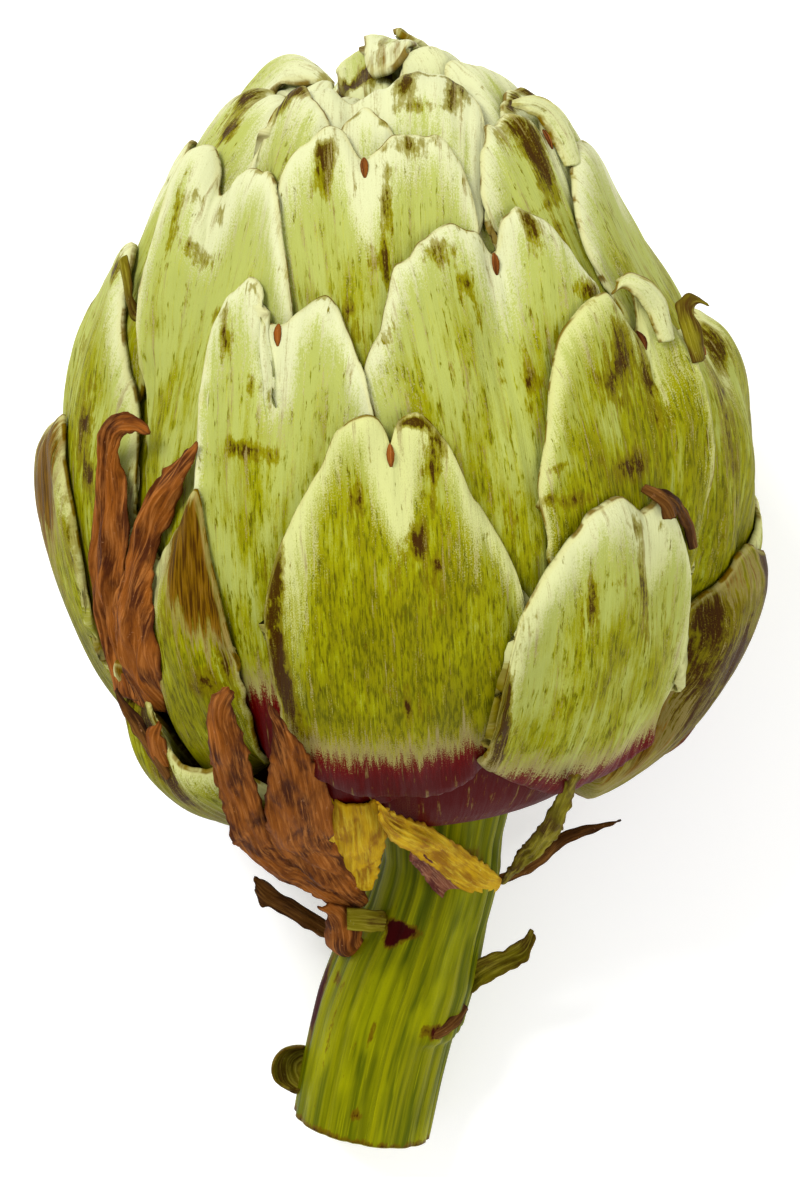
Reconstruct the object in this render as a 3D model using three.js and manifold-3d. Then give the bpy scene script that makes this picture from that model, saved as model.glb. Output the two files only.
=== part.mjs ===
// A globe artichoke, cut from its plant and laid on its side.
//
// Millimetres, +Z up. The tip of the head points to +Y and is lifted, the cut stem points to -Y and
// slopes down to the surface. The origin is the middle of the flat spot that the head rests on.
//
// Every bract of the head is one row of BRACTS. Bracts follow each other round the axis by the
// golden angle, and each outer one is draped over the ones inside it, as they grow.
import * as THREE from 'three';
import { mergeVertices } from 'three/addons/utils/BufferGeometryUtils.js';
import Module from 'manifold-3d';

const wasm = await Module();
wasm.setup();

// ---------------------------------------------------------------- driving dimensions

const HEAD_CENTRE = [5.1, -3.7, 46.8];      // where the widest section crosses the axis
const TILT = THREE.MathUtils.degToRad(20);  // the tip is lifted by this
const YAW = THREE.MathUtils.degToRad(3.5);  // and turned towards -X by this
const GOLDEN_ANGLE = 137.508;               // degrees from one bract to the next

// Outline of the head: distance along the axis towards the tip, distance from the axis.
const HEAD_PROFILE = [
  [67.5, 0], [67.3, 7], [65.3, 14.5], [60.3, 21.8], [53, 28.5], [45, 34], [37, 39.5], [28, 45],
  [17, 49.3], [5, 51.3], [-6, 51], [-17, 48.8], [-26, 45], [-34, 39], [-40, 30.5], [-43.5, 19],
  [-44.5, 8], [-44.5, 0],
];
const CORE_DEPTH = 7;            // the bracts stand out of a core this far inside the outline
const CORE_BASE_DEPTH = 1.5;     // which comes closer to it at the receptacle
const FUSE_DEPTH = 3.5;          // a bract is sunk this far into what it lies on
const TIP_HOLLOW = 12;           // depth of the hollow between the innermost bracts

// How a bract changes with its place in the spiral: n is 0 at the lower front bract, positive
// towards the tip. tip: arc from the pole of the head to the bract's top edge.
const SPIRAL = {
  n: [-20, -13, -11, -9, -6, -5, -3, 0, 3, 5, 8, 10, 13, 16, 21, 30, 45],
  tip: [128, 122, 108, 101, 84, 80, 73, 63.6, 53, 47, 38, 31, 24, 20, 13, 6, 1],
};
const GROWTH = {
  n: [-20, -9, -5, 0, 8, 13, 21, 30, 45],
  halfWidth: [9, 15, 19, 20, 18.5, 16, 12, 8, 5],
  length: [16, 30, 48, 56, 70, 60, 50, 40, 24],
};

// Shape that all bracts share, in mm on the bract laid flat. A row of BRACTS may change any of it.
const BRACT = {
  baseWidth: 0.5,      // share of the width lost at the root
  basePower: 1.6,      // more keeps the width further down
  notch: 4, notchWidth: 0.16, notchAt: 0,
  topPower: 1,         // 1 is an elliptical top, less is squarer
  proud: 0, sink: 0.10, crown: 2, belly: 0, flare: 0,
  curl: 2, curlLength: 6,
  bend: 0,
  hug: 0.8,            // how far an edge may float over what it lies on
  thick: 1.8, edge: 0.8,
};

const BRACTS = [
  { n: -20 }, { n: -19 }, { n: -17 }, { n: -15 }, { n: -14 }, { n: -12 },
  { n: -16, phi: -16, tip: 123, halfWidth: 11, length: 17, notch: 1 },
  { n: -11, phi: -64, tip: 106, halfWidth: 14, length: 36, flare: 4, notch: 3, sink: 0.02, proud: 1 },
  { n: -10, phi: 74, tip: 98, halfWidth: 18, length: 42, flare: 3, notch: 1, sink: 0.02, proud: 3 },
  { n: -9, phi: -160, tip: 100, halfWidth: 17, length: 40 },
  { n: -7, phi: 122, tip: 86, halfWidth: 18, length: 52, sink: 0.05 },
  { n: -6, phi: -100, tip: 75, halfWidth: 18, length: 60, proud: 3, flare: 2, sink: 0.05 },
  { n: -5, fine: true, phi: 38, tip: 80, halfWidth: 19.5, length: 56, top: 20, bend: 2, notch: 2,
    notchAt: 0.3, baseWidth: 0.35, sink: 0.03 },
  { n: -4, phi: 172, tip: 78, halfWidth: 19, length: 56 },
  { n: -3, fine: true, phi: -46, tip: 68.5, halfWidth: 17, length: 66, notch: 17, notchWidth: 0.22, top: 14,
    baseWidth: 0.3, sink: 0.05 },
  { n: -2, phi: 88, tip: 68, halfWidth: 20, length: 64, proud: 2, sink: 0.05 },
  { n: -1, phi: -136, tip: 66, halfWidth: 20, length: 66 },
  { n: 0, fine: true, phi: -0.8, tip: 63.3, halfWidth: 19.3, length: 70, top: 27, notch: 6, notchWidth: 0.03,
    notchAt: -0.08, belly: 2, topPower: 1.1, baseWidth: 0.35, sink: 0.03 },
  { n: 1 },
  { n: 2, phi: -78, tip: 50, halfWidth: 18, length: 76, proud: 2 },
  { n: 3, fine: true, phi: 45, tip: 52, halfWidth: 18.5, length: 76, notchAt: 0.3, notch: 5, top: 17 },
  { n: 4 },
  { n: 5, fine: true, phi: -21, tip: 46, halfWidth: 15, length: 82, notchAt: -0.3, notch: 5.5, top: 15,
    baseWidth: 0.2, bend: 0.5, sink: 0.08 },
  { n: 6, phi: 80, tip: 52, halfWidth: 18, length: 74, proud: 2.5 },
  { n: 7, phi: -112, tip: 40 },
  { n: 8, fine: true, phi: 20, tip: 37.5, halfWidth: 18.5, length: 84, notchAt: 0.15, notch: 5, top: 17,
    baseWidth: 0.3 },
  { n: 9 },
  { n: 10, fine: true, phi: -41, tip: 29.5, halfWidth: 16, notch: 3, notchAt: 0.1, proud: -0.5 },
  { n: 11, phi: 76, tip: 33, halfWidth: 16, proud: 1 },
  { n: 12 },
  { n: 13, fine: true, phi: -2, tip: 21, halfWidth: 14.5, notch: 6, notchAt: -0.1, notchWidth: 0.2, top: 9,
    topPower: 0.8 },
  { n: 14 },
  { n: 15, phi: -76, tip: 28.5, halfWidth: 15 },
  { n: 16, fine: true, phi: 52, tip: 24, halfWidth: 14.5, notch: 1, top: 9, topPower: 0.7 },
  { n: 17 },
  { n: 18, phi: -36, tip: 20.5, halfWidth: 12, top: 9, notch: 2 },
  { n: 19 }, { n: 20 },
  { n: 21, phi: -4, tip: 14.5, halfWidth: 14, top: 7, notch: 3, notchAt: -0.1, topPower: 0.7 },
  { n: 22 },
  { n: 23, phi: -66, tip: 14.5, halfWidth: 12 },
  { n: 24, phi: 42, tip: 15, halfWidth: 12, proud: 1.5 },
  { n: 25 }, { n: 26 }, { n: 27 }, { n: 28 }, { n: 29 }, { n: 30 }, { n: 31 }, { n: 32 }, { n: 33 },
];

// Stem: centre line from the receptacle to the cut end, relative to the head centre, and radius.
const STEM_PATH = [
  [6.3, -42.2, -15.0], [5.6, -50.7, -18.6], [4.0, -57.5, -22.8], [1.3, -65.5, -28.0],
  [-1.5, -74.0, -32.2], [-3.7, -83.0, -35.8], [-5.5, -92.2, -38.0],
];
const STEM_RADIUS = [10.5, 8.6, 8.8, 10.2, 10.6, 10.5, 10.4];
const STEM_RIBS = 16;
const STEM_RIB_HEIGHT = 0.35;
const STEM_RINGS = 12;
const STEM_TOP_RISE = 3;         // how far the stem reaches up into the receptacle

// The base of an old leaf still sheathes the right of the stem down to a scar.
const SHEATH = { rise: 0.9, from: -8, to: -135, start: 0.16, end: 0.68 };
const STEM_NUBS = [
  { at: [6.6, -77.5, -27.6], size: [4.2, 1.6, 2.4], turn: 35 },
  { at: [-15.4, -84.4, -37.0], size: [3.0, 3.6, 2.2], turn: 0 },
];

// Loose dry bracts at the base of the head and small leaves on the stem. path runs from the root to
// the tip, relative to the head centre; face is the way its outer side looks at the root and the tip.
const BLADES = [
  { name: 'dry_bract_forked', color: 0x8f4c22, halfWidth: 8.6, top: 6, notch: 27, notchWidth: 0.3, crown: 1.5,
    path: [[-1.6, -58.9, -17], [-3.9, -58.2, -13], [-9.2, -54.7, -3], [-15.4, -47.4, 12], [-18.9, -38.4, 31],
      [-20.4, -27.4, 44]],
    face: [[-0.5, -0.2, 0.8], [-0.4, -0.45, 0.8]] },
  { name: 'dry_bract_yellow', color: 0xa08a20, halfWidth: 3.6, top: 6, crown: 1.6,
    path: [[13.6, -57.2, -24], [14.7, -55.4, -18], [9.5, -52.9, -6], [4.4, -49.6, 9], [0.1, -46.1, 21],
      [-2.9, -42.2, 32]],
    face: [[0.5, -0.6, 0.6], [0.1, -0.7, 0.7]] },
  { name: 'dry_bract_olive', color: 0x8c8428, halfWidth: 2.8, top: 5, crown: 1.2,
    path: [[14.8, -56.9, -24], [16.3, -54.4, -19], [18.9, -49.6, -8], [21.7, -44.0, 8], [24.8, -38.7, 24]],
    face: [[0.7, -0.5, 0.5], [0.5, -0.5, 0.7]] },
  { name: 'dry_bract_thin', color: 0x5d4527, halfWidth: 1.9, top: 5, crown: 0.5,
    path: [[10.2, -56.5, -31], [14.7, -55.4, -35], [19.5, -53.9, -37], [23.4, -51.3, -38], [28.1, -48.9, -37],
      [32.2, -47.3, -35]],
    face: [[0.3, -0.6, 0.7], [0.2, -0.8, 0.5]] },
  { name: 'dry_bract_inner', color: 0x93701d, halfWidth: 4.2, top: 4, crown: 0.8,
    path: [[3.2, -56.0, -13.0], [1.0, -52.6, -8.0], [-3.0, -48.6, 3], [-5.3, -45.7, 12], [-6.2, -44.3, 16]],
    face: [[-0.3, -0.5, 0.8], [-0.1, -0.7, 0.7]] },
  { name: 'stem_leaf_left', color: 0x5a3a20, halfWidth: 1.9, top: 2, notch: 0, crown: 0.6,
    path: [[-5.0, -66.5, -31.5], [-8.0, -65.4, -32], [-10.9, -63.7, -31], [-14.6, -61.2, -28],
      [-18.9, -57.7, -24], [-20.9, -55.0, -19]],
    face: [[0.2, 0.2, 1], [-0.4, -0.5, 0.6]] },
  { name: 'stem_leaf_hood', color: 0x6b3a20, halfWidth: 2.9, top: 3, notch: 0, crown: 1.4,
    path: [[-5.0, -65.4, -20], [-7.1, -63.5, -17], [-8.8, -61.2, -13.5], [-10.8, -59.6, -13]],
    face: [[-0.5, -0.3, 0.8], [-0.2, 0.2, 1]] },
  { name: 'stem_leaf_right', color: 0x76702a, halfWidth: 2.7, top: 1.5, notch: 1.2, crown: -1.2,
    path: [[5.0, -79.0, -31], [7.5, -74.8, -27.5], [10.7, -70.4, -25], [14.8, -67.4, -23], [18.8, -64.6, -20]],
    face: [[0.6, -0.1, 0.8], [0.2, -0.5, 0.8]] },
];
const BLADE_THICKNESS = 0.9;

const GAP = 0.4;                 // clear space between separate pieces

// ---------------------------------------------------------------- small helpers

function interpolate(x, xs, ys) {
  if (x <= xs[0]) return ys[0];
  for (let i = 1; i < xs.length; i++) {
    if (x <= xs[i]) {
      const f = (x - xs[i - 1]) / (xs[i] - xs[i - 1]);
      return ys[i - 1] + f * (ys[i] - ys[i - 1]);
    }
  }
  return ys[ys.length - 1];
}

const clamp = THREE.MathUtils.clamp;
const degToRad = THREE.MathUtils.degToRad;

// Axes of the head: along to the tip, up out of its upper side, and across to +X.
const AXIS = new THREE.Vector3(-Math.sin(YAW) * Math.cos(TILT), Math.cos(YAW) * Math.cos(TILT), Math.sin(TILT));
const UP = new THREE.Vector3(Math.sin(YAW) * Math.sin(TILT), -Math.cos(YAW) * Math.sin(TILT), Math.cos(TILT));
const ACROSS = new THREE.Vector3().crossVectors(AXIS, UP);

// A point round the axis: theta from the tip, phi from UP towards ACROSS.
function direction(theta, phi) {
  return AXIS.clone().multiplyScalar(Math.cos(theta))
    .addScaledVector(UP, Math.sin(theta) * Math.cos(phi))
    .addScaledVector(ACROSS, Math.sin(theta) * Math.sin(phi));
}

function anglesOf(d) {
  const theta = Math.acos(clamp(d.dot(AXIS), -1, 1));
  const phi = Math.atan2(d.dot(ACROSS), d.dot(UP));
  return [theta, phi < 0 ? phi + 2 * Math.PI : phi];
}

// ---------------------------------------------------------------- outline of the head

// Radius of the outline at evenly spaced angles from the tip, and arc length up to each.
function sampleOutline(steps = 720) {
  const profile = HEAD_PROFILE.map(([w, r]) => new THREE.Vector3(w, r, 0));
  const mirrored = (p) => new THREE.Vector3(p.x, -p.y, 0);
  const points = [mirrored(profile[1]), ...profile, mirrored(profile[profile.length - 2])];
  const angles = [];
  const radii = [];
  for (let i = 1; i < points.length - 2; i++) {
    const [p0, p1, p2, p3] = points.slice(i - 1, i + 3);
    for (let k = 0; k < 24; k++) {
      const t = k / 24;
      const blend = (a, b, c, d) => 0.5 * (2 * b + (c - a) * t + (2 * a - 5 * b + 4 * c - d) * t * t
        + (3 * b - a - 3 * c + d) * t ** 3);
      const w = blend(p0.x, p1.x, p2.x, p3.x);
      const r = Math.max(0, blend(p0.y, p1.y, p2.y, p3.y));
      angles.push(Math.atan2(r, w));
      radii.push(Math.hypot(r, w));
    }
  }
  angles.push(Math.PI);
  radii.push(-HEAD_PROFILE[HEAD_PROFILE.length - 1][0]);
  const theta = [];
  const rho = [];
  for (let i = 0; i <= steps; i++) {
    theta.push(Math.PI * i / steps);
    rho.push(interpolate(theta[i], angles, radii));
  }
  const arc = [0];
  for (let i = 1; i <= steps; i++) {
    const mid = (rho[i] + rho[i - 1]) / 2;
    arc.push(arc[i - 1] + Math.hypot(mid * (theta[i] - theta[i - 1]), rho[i] - rho[i - 1]));
  }
  return { theta, rho, arc };
}

const OUTLINE = sampleOutline();

function outlineRadius(theta) {
  const i = clamp(theta / Math.PI, 0, 1) * (OUTLINE.rho.length - 1);
  const i0 = Math.min(Math.floor(i), OUTLINE.rho.length - 2);
  return OUTLINE.rho[i0] + (i - i0) * (OUTLINE.rho[i0 + 1] - OUTLINE.rho[i0]);
}

// Angle from the tip at an arc length from the pole; a negative arc is past the pole.
function angleAtArc(arc) {
  return arc < 0 ? arc / outlineRadius(0) : interpolate(arc, OUTLINE.arc, OUTLINE.theta);
}

function coreRadius(theta) {
  const base = THREE.MathUtils.smoothstep(theta, degToRad(125), degToRad(150));
  const tip = 1 - clamp(theta / degToRad(22), 0, 1);
  return outlineRadius(theta) - CORE_DEPTH + (CORE_DEPTH - CORE_BASE_DEPTH) * base - TIP_HOLLOW * tip;
}

// ---------------------------------------------------------------- what is built so far, by direction

// Outermost radius round the head centre, on a grid of theta and phi.
class ReachMap {
  constructor(step = degToRad(0.75)) {
    this.step = step;
    this.rows = Math.round(Math.PI / step) + 1;
    this.columns = Math.round(2 * Math.PI / step);
    this.reach = new Float64Array(this.rows * this.columns);
    for (let i = 0; i < this.rows; i++) {
      this.reach.fill(coreRadius(i * step), i * this.columns, (i + 1) * this.columns);
    }
  }

  at(d) {
    const [theta, phi] = anglesOf(d);
    const i = clamp(theta / this.step, 0, this.rows - 1.001);
    const j = phi / this.step;
    const i0 = Math.floor(i);
    const j0 = Math.floor(j) % this.columns;
    const j1 = (j0 + 1) % this.columns;
    const fi = i - i0;
    const fj = j - Math.floor(j);
    const cell = (r, c) => this.reach[r * this.columns + c];
    return (cell(i0, j0) * (1 - fj) + cell(i0, j1) * fj) * (1 - fi)
      + (cell(i0 + 1, j0) * (1 - fj) + cell(i0 + 1, j1) * fj) * fi;
  }

  // Raises the map to a sheet given as rows of points round the head centre.
  add(grid, finer = 4) {
    const point = new THREE.Vector3();
    const left = new THREE.Vector3();
    for (let v = 0; v < grid.length - 1; v++) {
      for (let u = 0; u < grid[0].length - 1; u++) {
        for (let k = 0; k < finer * finer; k++) {
          const fu = (k % finer) / finer;
          const fv = Math.floor(k / finer) / finer;
          left.lerpVectors(grid[v][u], grid[v + 1][u], fv);
          point.lerpVectors(grid[v][u + 1], grid[v + 1][u + 1], fv).lerp(left, 1 - fu);
          const radius = point.length();
          const [theta, phi] = anglesOf(point.divideScalar(radius));
          const row = clamp(Math.round(theta / this.step), 0, this.rows - 1);
          const cell = row * this.columns + Math.round(phi / this.step) % this.columns;
          this.reach[cell] = Math.max(this.reach[cell], radius);
        }
      }
    }
  }
}

// ---------------------------------------------------------------- one bract

const ACROSS_STEPS = 32;         // a bract is worked out on this fine grid, then thinned out
const DOWN_STEPS = 39;

function bractRow(row) {
  const spec = { ...BRACT, ...row };
  spec.phi = degToRad(row.phi ?? row.n * GOLDEN_ANGLE);
  spec.tip = row.tip ?? interpolate(row.n, SPIRAL.n, SPIRAL.tip);
  spec.halfWidth = row.halfWidth ?? interpolate(row.n, GROWTH.n, GROWTH.halfWidth);
  spec.length = row.length ?? interpolate(row.n, GROWTH.n, GROWTH.length);
  spec.top = row.top ?? 0.85 * spec.halfWidth;
  if (row.n > 18) spec.proud = Math.max(spec.proud, 1.5 * Math.min(1, (row.n - 18) / 6));
  return spec;
}

// The bract laid flat: x across it, y down from its apex, drop below its top edge.
function flatBract(b) {
  const cells = [];
  for (let j = 0; j <= DOWN_STEPS; j++) {
    const line = [];
    for (let i = 0; i <= ACROSS_STEPS; i++) {
      const t = -1 + 2 * i / ACROSS_STEPS;
      const u = Math.sin(Math.PI / 2 * t);
      const topEdge = b.top * (1 - Math.abs(Math.cos(Math.PI / 2 * t)) ** b.topPower)
        + b.notch * Math.exp(-(((u - b.notchAt) / b.notchWidth) ** 2));
      const drop = (b.length - topEdge) * (j / DOWN_STEPS) ** 1.25;
      const y = topEdge + drop;
      const below = clamp((y - b.top) / (b.length - b.top), 0, 1);
      const width = b.halfWidth * (1 - b.baseWidth * below ** b.basePower);
      const lean = b.bend * clamp(1 - y / b.length, 0, 1.3) ** 2;
      line.push({ u, x: width * u + lean, y, drop });
    }
    cells.push(line);
  }
  return cells;
}

function smooth(field, low, high, rounds, pull = 0.6) {
  let now = field;
  for (let n = 0; n < rounds; n++) {
    const last = now;
    const rows = last.length;
    const columns = last[0].length;
    now = last.map((line, j) => line.map((value, i) => {
      const mean = (last[Math.max(j - 1, 0)][i] + last[Math.min(j + 1, rows - 1)][i]
        + line[Math.max(i - 1, 0)] + line[Math.min(i + 1, columns - 1)]) / 4;
      const next = value + pull * (mean - value);
      return low ? clamp(next, low[j][i], high[j][i]) : next;
    }));
  }
  return now;
}

// Puts a bract on the head: outward directions, its outer radius and its thickness on the fine grid.
function drapeBract(b, reach) {
  const cells = flatBract(b);
  const toSide = UP.clone().multiplyScalar(-Math.sin(b.phi)).addScaledVector(ACROSS, Math.cos(b.phi));
  const wanted = cells.map((line) => line.map((c) => {
    const spine = angleAtArc(b.tip + c.y);
    const turn = c.x / outlineRadius(Math.abs(spine));
    const d = direction(spine, b.phi).multiplyScalar(Math.cos(turn)).addScaledVector(toSide, Math.sin(turn));
    const belly = b.belly * Math.sin(Math.PI * clamp(c.y / (0.9 * b.length), 0, 1)) ** 2;
    const offset = b.proud - b.sink * Math.max(c.y, 0) + belly
      - b.crown * (c.x / b.halfWidth) ** 2
      - b.curl * clamp(1 - c.drop / b.curlLength, 0, 1) ** 2
      + b.flare * clamp(1 - c.y / (0.6 * b.length), 0, 1) ** 1.5;
    const thickness = b.edge + (b.thick - b.edge) * clamp(1 - (c.x / b.halfWidth) ** 2, 0, 1)
      * clamp(c.drop / 8, 0, 1);
    return { d, radius: outlineRadius(anglesOf(d)[0]) + offset, thickness, under: reach.at(d), cell: c };
  }));
  // The sheet lies on what is under it, floats freely in its middle and hugs with its edges.
  const low = wanted.map((line) => line.map((p) => p.under + 0.15 + 0.8 * p.thickness - p.radius));
  const eased = smooth(low, null, null, 6, 0.5);
  const bridged = smooth(low.map((line, j) => line.map((v, i) => Math.max(v, eased[j][i]))), null, null, 10, 0.5);
  const high = bridged.map((line, j) => line.map((v, i) => {
    const { cell } = wanted[j][i];
    const toEdge = Math.min((1 - Math.abs(cell.u)) * b.halfWidth, cell.drop);
    return Math.max(v + b.hug + 0.9 * Math.max(toEdge - 2, 0), low[j][i]);
  }));
  const start = low.map((line, j) => line.map((v, i) => clamp(0, v, high[j][i])));
  const lift = smooth(start, low, high, 60);
  return wanted.map((line, j) => line.map((p, i) => {
    const root = THREE.MathUtils.smoothstep(p.cell.y, 0.88 * b.length, b.length);
    return { ...p, outer: p.radius + lift[j][i] - 8 * root };
  }));
}

// ---------------------------------------------------------------- closed solids from grids of points

// Two sheets of the same grid, split into triangles alike, joined by a wall round their edge.
function shellGeometry(outer, inner) {
  const rows = outer.length;
  const columns = outer[0].length;
  const points = [...outer.flat(), ...inner.flat()];
  const index = [];
  const at = (j, i, sheet) => sheet * rows * columns + j * columns + i;
  const quad = (a, b, c, d) => index.push(a, b, c, a, c, d);
  for (let j = 0; j < rows - 1; j++) {
    for (let i = 0; i < columns - 1; i++) {
      quad(at(j, i, 0), at(j + 1, i, 0), at(j + 1, i + 1, 0), at(j, i + 1, 0));
      index.push(at(j, i, 1), at(j + 1, i + 1, 1), at(j + 1, i, 1));
      index.push(at(j, i, 1), at(j, i + 1, 1), at(j + 1, i + 1, 1));
    }
  }
  for (let i = 0; i < columns - 1; i++) {
    quad(at(0, i, 0), at(0, i + 1, 0), at(0, i + 1, 1), at(0, i, 1));
    quad(at(rows - 1, i + 1, 0), at(rows - 1, i, 0), at(rows - 1, i, 1), at(rows - 1, i + 1, 1));
  }
  for (let j = 0; j < rows - 1; j++) {
    quad(at(j + 1, 0, 0), at(j, 0, 0), at(j, 0, 1), at(j + 1, 0, 1));
    quad(at(j, columns - 1, 0), at(j + 1, columns - 1, 0), at(j + 1, columns - 1, 1), at(j, columns - 1, 1));
  }
  const geometry = new THREE.BufferGeometry().setFromPoints(points);
  geometry.setIndex(index);
  return geometry;
}

// Rings of the same count of points, closed by a fan at each end.
function loftGeometry(rings) {
  const count = rings[0].length;
  const points = rings.flat();
  const index = [];
  for (let j = 0; j < rings.length - 1; j++) {
    for (let i = 0; i < count; i++) {
      const a = j * count + i;
      const b = j * count + (i + 1) % count;
      index.push(a, b, b + count, a, b + count, a + count);
    }
  }
  const middle = (ring) => ring.reduce((sum, p) => sum.add(p), new THREE.Vector3()).divideScalar(count);
  const first = points.push(middle(rings[0])) - 1;
  const last = points.push(middle(rings[rings.length - 1])) - 1;
  const end = (rings.length - 1) * count;
  for (let i = 0; i < count; i++) {
    index.push(first, (i + 1) % count, i);
    index.push(last, end + i, end + (i + 1) % count);
  }
  const geometry = new THREE.BufferGeometry().setFromPoints(points);
  geometry.setIndex(index);
  return geometry;
}

// A three.js geometry as a solid, turned right way out.
function solid(geometry) {
  const bare = geometry.clone();
  for (const name of Object.keys(bare.attributes)) {
    if (name !== 'position') bare.deleteAttribute(name);
  }
  const merged = mergeVertices(bare, 1e-5);
  const vertProperties = new Float32Array(merged.attributes.position.array);
  const triVerts = new Uint32Array(merged.index.array);
  const made = new wasm.Manifold(new wasm.Mesh({ numProp: 3, vertProperties, triVerts }));
  if (made.volume() > 0) return made;
  for (let i = 0; i < triVerts.length; i += 3) [triVerts[i], triVerts[i + 1]] = [triVerts[i + 1], triVerts[i]];
  return new wasm.Manifold(new wasm.Mesh({ numProp: 3, vertProperties, triVerts }));
}

// The largest outer body of a solid: hollows that the fusing sealed are filled, scraps are dropped.
function mainBody(shape) {
  const bodies = shape.decompose().filter((body) => body.volume() > 0);
  return bodies.sort((a, b) => b.volume() - a.volume())[0];
}

function toGeometry(shape) {
  const mesh = shape.getMesh();
  const geometry = new THREE.BufferGeometry();
  geometry.setAttribute('position', new THREE.BufferAttribute(new Float32Array(mesh.vertProperties), 3));
  geometry.setIndex(new THREE.BufferAttribute(new Uint32Array(mesh.triVerts), 1));
  return geometry;
}

// Everything under the surface that the artichoke lies on.
function underFloor() {
  const box = new THREE.BoxGeometry(400, 400, 60);
  box.translate(0, 0, -HEAD_CENTRE[2] - 30);
  return solid(box);
}

// ---------------------------------------------------------------- the head

function coreGeometry(rows = 14, columns = 24) {
  const rings = [];
  for (let j = 1; j < rows; j++) {
    const theta = Math.PI * j / rows;
    rings.push(Array.from({ length: columns }, (_, i) =>
      direction(theta, 2 * Math.PI * i / columns).multiplyScalar(coreRadius(theta) + 0.3)));
  }
  return loftGeometry(rings);
}

// Rows and columns of the fine grid that a bract's solid keeps: more on the larger bracts.
function keptLines(b) {
  const notch = Math.round((Math.asin(clamp(b.notchAt, -1, 1)) / (Math.PI / 2) + 1) / 2 * ACROSS_STEPS);
  if (b.n > 24 || b.n < -11) return { columns: [0, notch - 8, notch, notch + 8, 32], rows: [0, 4, 11, 39] };
  if (!b.fine) return { columns: [0, 6, notch - 5, notch, notch + 5, 26, 32], rows: [0, 4, 11, 22, 39] };
  const reach = b.notchWidth > 0.1 ? 4 : 2;
  const columns = [0, 6, notch - reach - 4, notch - reach, notch, notch + reach, notch + reach + 4, 26, 32];
  const kept = columns.filter((c, k) => k === 0 || c > columns[k - 1]);
  return { columns: kept, rows: [0, 3, 8, 15, 25, 39] };
}

function bractSolid(b, sheet) {
  const { columns, rows } = keptLines(b);
  const pick = (radiusOf) => rows.map((j) => columns.map((i) => {
    const p = sheet[j][i];
    return p.d.clone().multiplyScalar(radiusOf(p));
  }));
  const outer = pick((p) => p.outer);
  // The top edge is a free lip; further down the bract is fused to what it lies on.
  const inner = pick((p) => {
    const toFuse = p.outer - (p.under - FUSE_DEPTH);
    const allowed = p.thickness + 2.5 * p.cell.drop;
    return p.outer - Math.max(p.thickness, Math.min(toFuse, allowed));
  });
  return solid(shellGeometry(outer, inner));
}

function buildHead() {
  const reach = new ReachMap();
  const parts = [solid(coreGeometry())];
  for (const row of [...BRACTS].sort((a, b) => b.n - a.n)) {
    const b = bractRow(row);
    const sheet = drapeBract(b, reach);
    parts.push(bractSolid(b, sheet));
    reach.add(sheet.map((line) => line.map((p) => p.d.clone().multiplyScalar(p.outer))));
  }
  const whole = wasm.Manifold.union(parts).subtract(underFloor());
  return { head: mainBody(whole), reach };
}

// ---------------------------------------------------------------- the stem

const stemCurve = new THREE.CatmullRomCurve3(STEM_PATH.map((p) => new THREE.Vector3(...p)), false, 'centripetal');

function sheathRise(t, angle) {
  const degrees = THREE.MathUtils.euclideanModulo(THREE.MathUtils.radToDeg(angle) + 180, 360) - 180;
  const inside = degrees < SHEATH.from && degrees > SHEATH.to && t > SHEATH.start && t < SHEATH.end;
  return inside ? SHEATH.rise : 0;
}

// Rings across the stem, grown outwards by a clearance where it is used to cut room for itself.
function stemRings(clearance = 0) {
  const rings = [];
  for (let j = 0; j <= STEM_RINGS; j++) {
    const t = j / STEM_RINGS;
    const centre = stemCurve.getPoint(t);
    const along = stemCurve.getTangent(t);
    const toAxis = Math.max(0, 1 - t * 4);
    along.lerp(AXIS.clone().negate(), toAxis).normalize();
    const out = UP.clone().addScaledVector(along, -UP.dot(along)).normalize();
    const across = new THREE.Vector3().crossVectors(along, out);
    const radius = interpolate(t * (STEM_RADIUS.length - 1), STEM_RADIUS.map((_, k) => k), STEM_RADIUS) + clearance;
    if (j === 0) centre.addScaledVector(along, -STEM_TOP_RISE - clearance);
    if (j === STEM_RINGS) centre.addScaledVector(along, clearance);
    rings.push(Array.from({ length: 2 * STEM_RIBS }, (_, i) => {
      const angle = Math.PI * i / STEM_RIBS;
      const r = radius + sheathRise(t, angle) + (i % 2 ? -STEM_RIB_HEIGHT : STEM_RIB_HEIGHT);
      return centre.clone().addScaledVector(out, r * Math.cos(angle)).addScaledVector(across, r * Math.sin(angle));
    }));
  }
  return rings;
}

function nubSolid({ at, size, turn }) {
  const ball = new THREE.SphereGeometry(1, 10, 7);
  ball.scale(...size).rotateZ(degToRad(turn)).translate(...at);
  return solid(ball);
}

function buildStem() {
  const parts = [solid(loftGeometry(stemRings())), ...STEM_NUBS.map(nubSolid)];
  return wasm.Manifold.union(parts).subtract(underFloor());
}

// ---------------------------------------------------------------- loose bracts and stem leaves

const BLADE_COLUMNS = [0, 8, 16, 24, 32];
const BLADE_ROWS = [0, 6, 12, 19, 28, 39];
const FORK_COLUMNS = [0, 5, 10, 14, 16, 18, 22, 27, 32];

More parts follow.
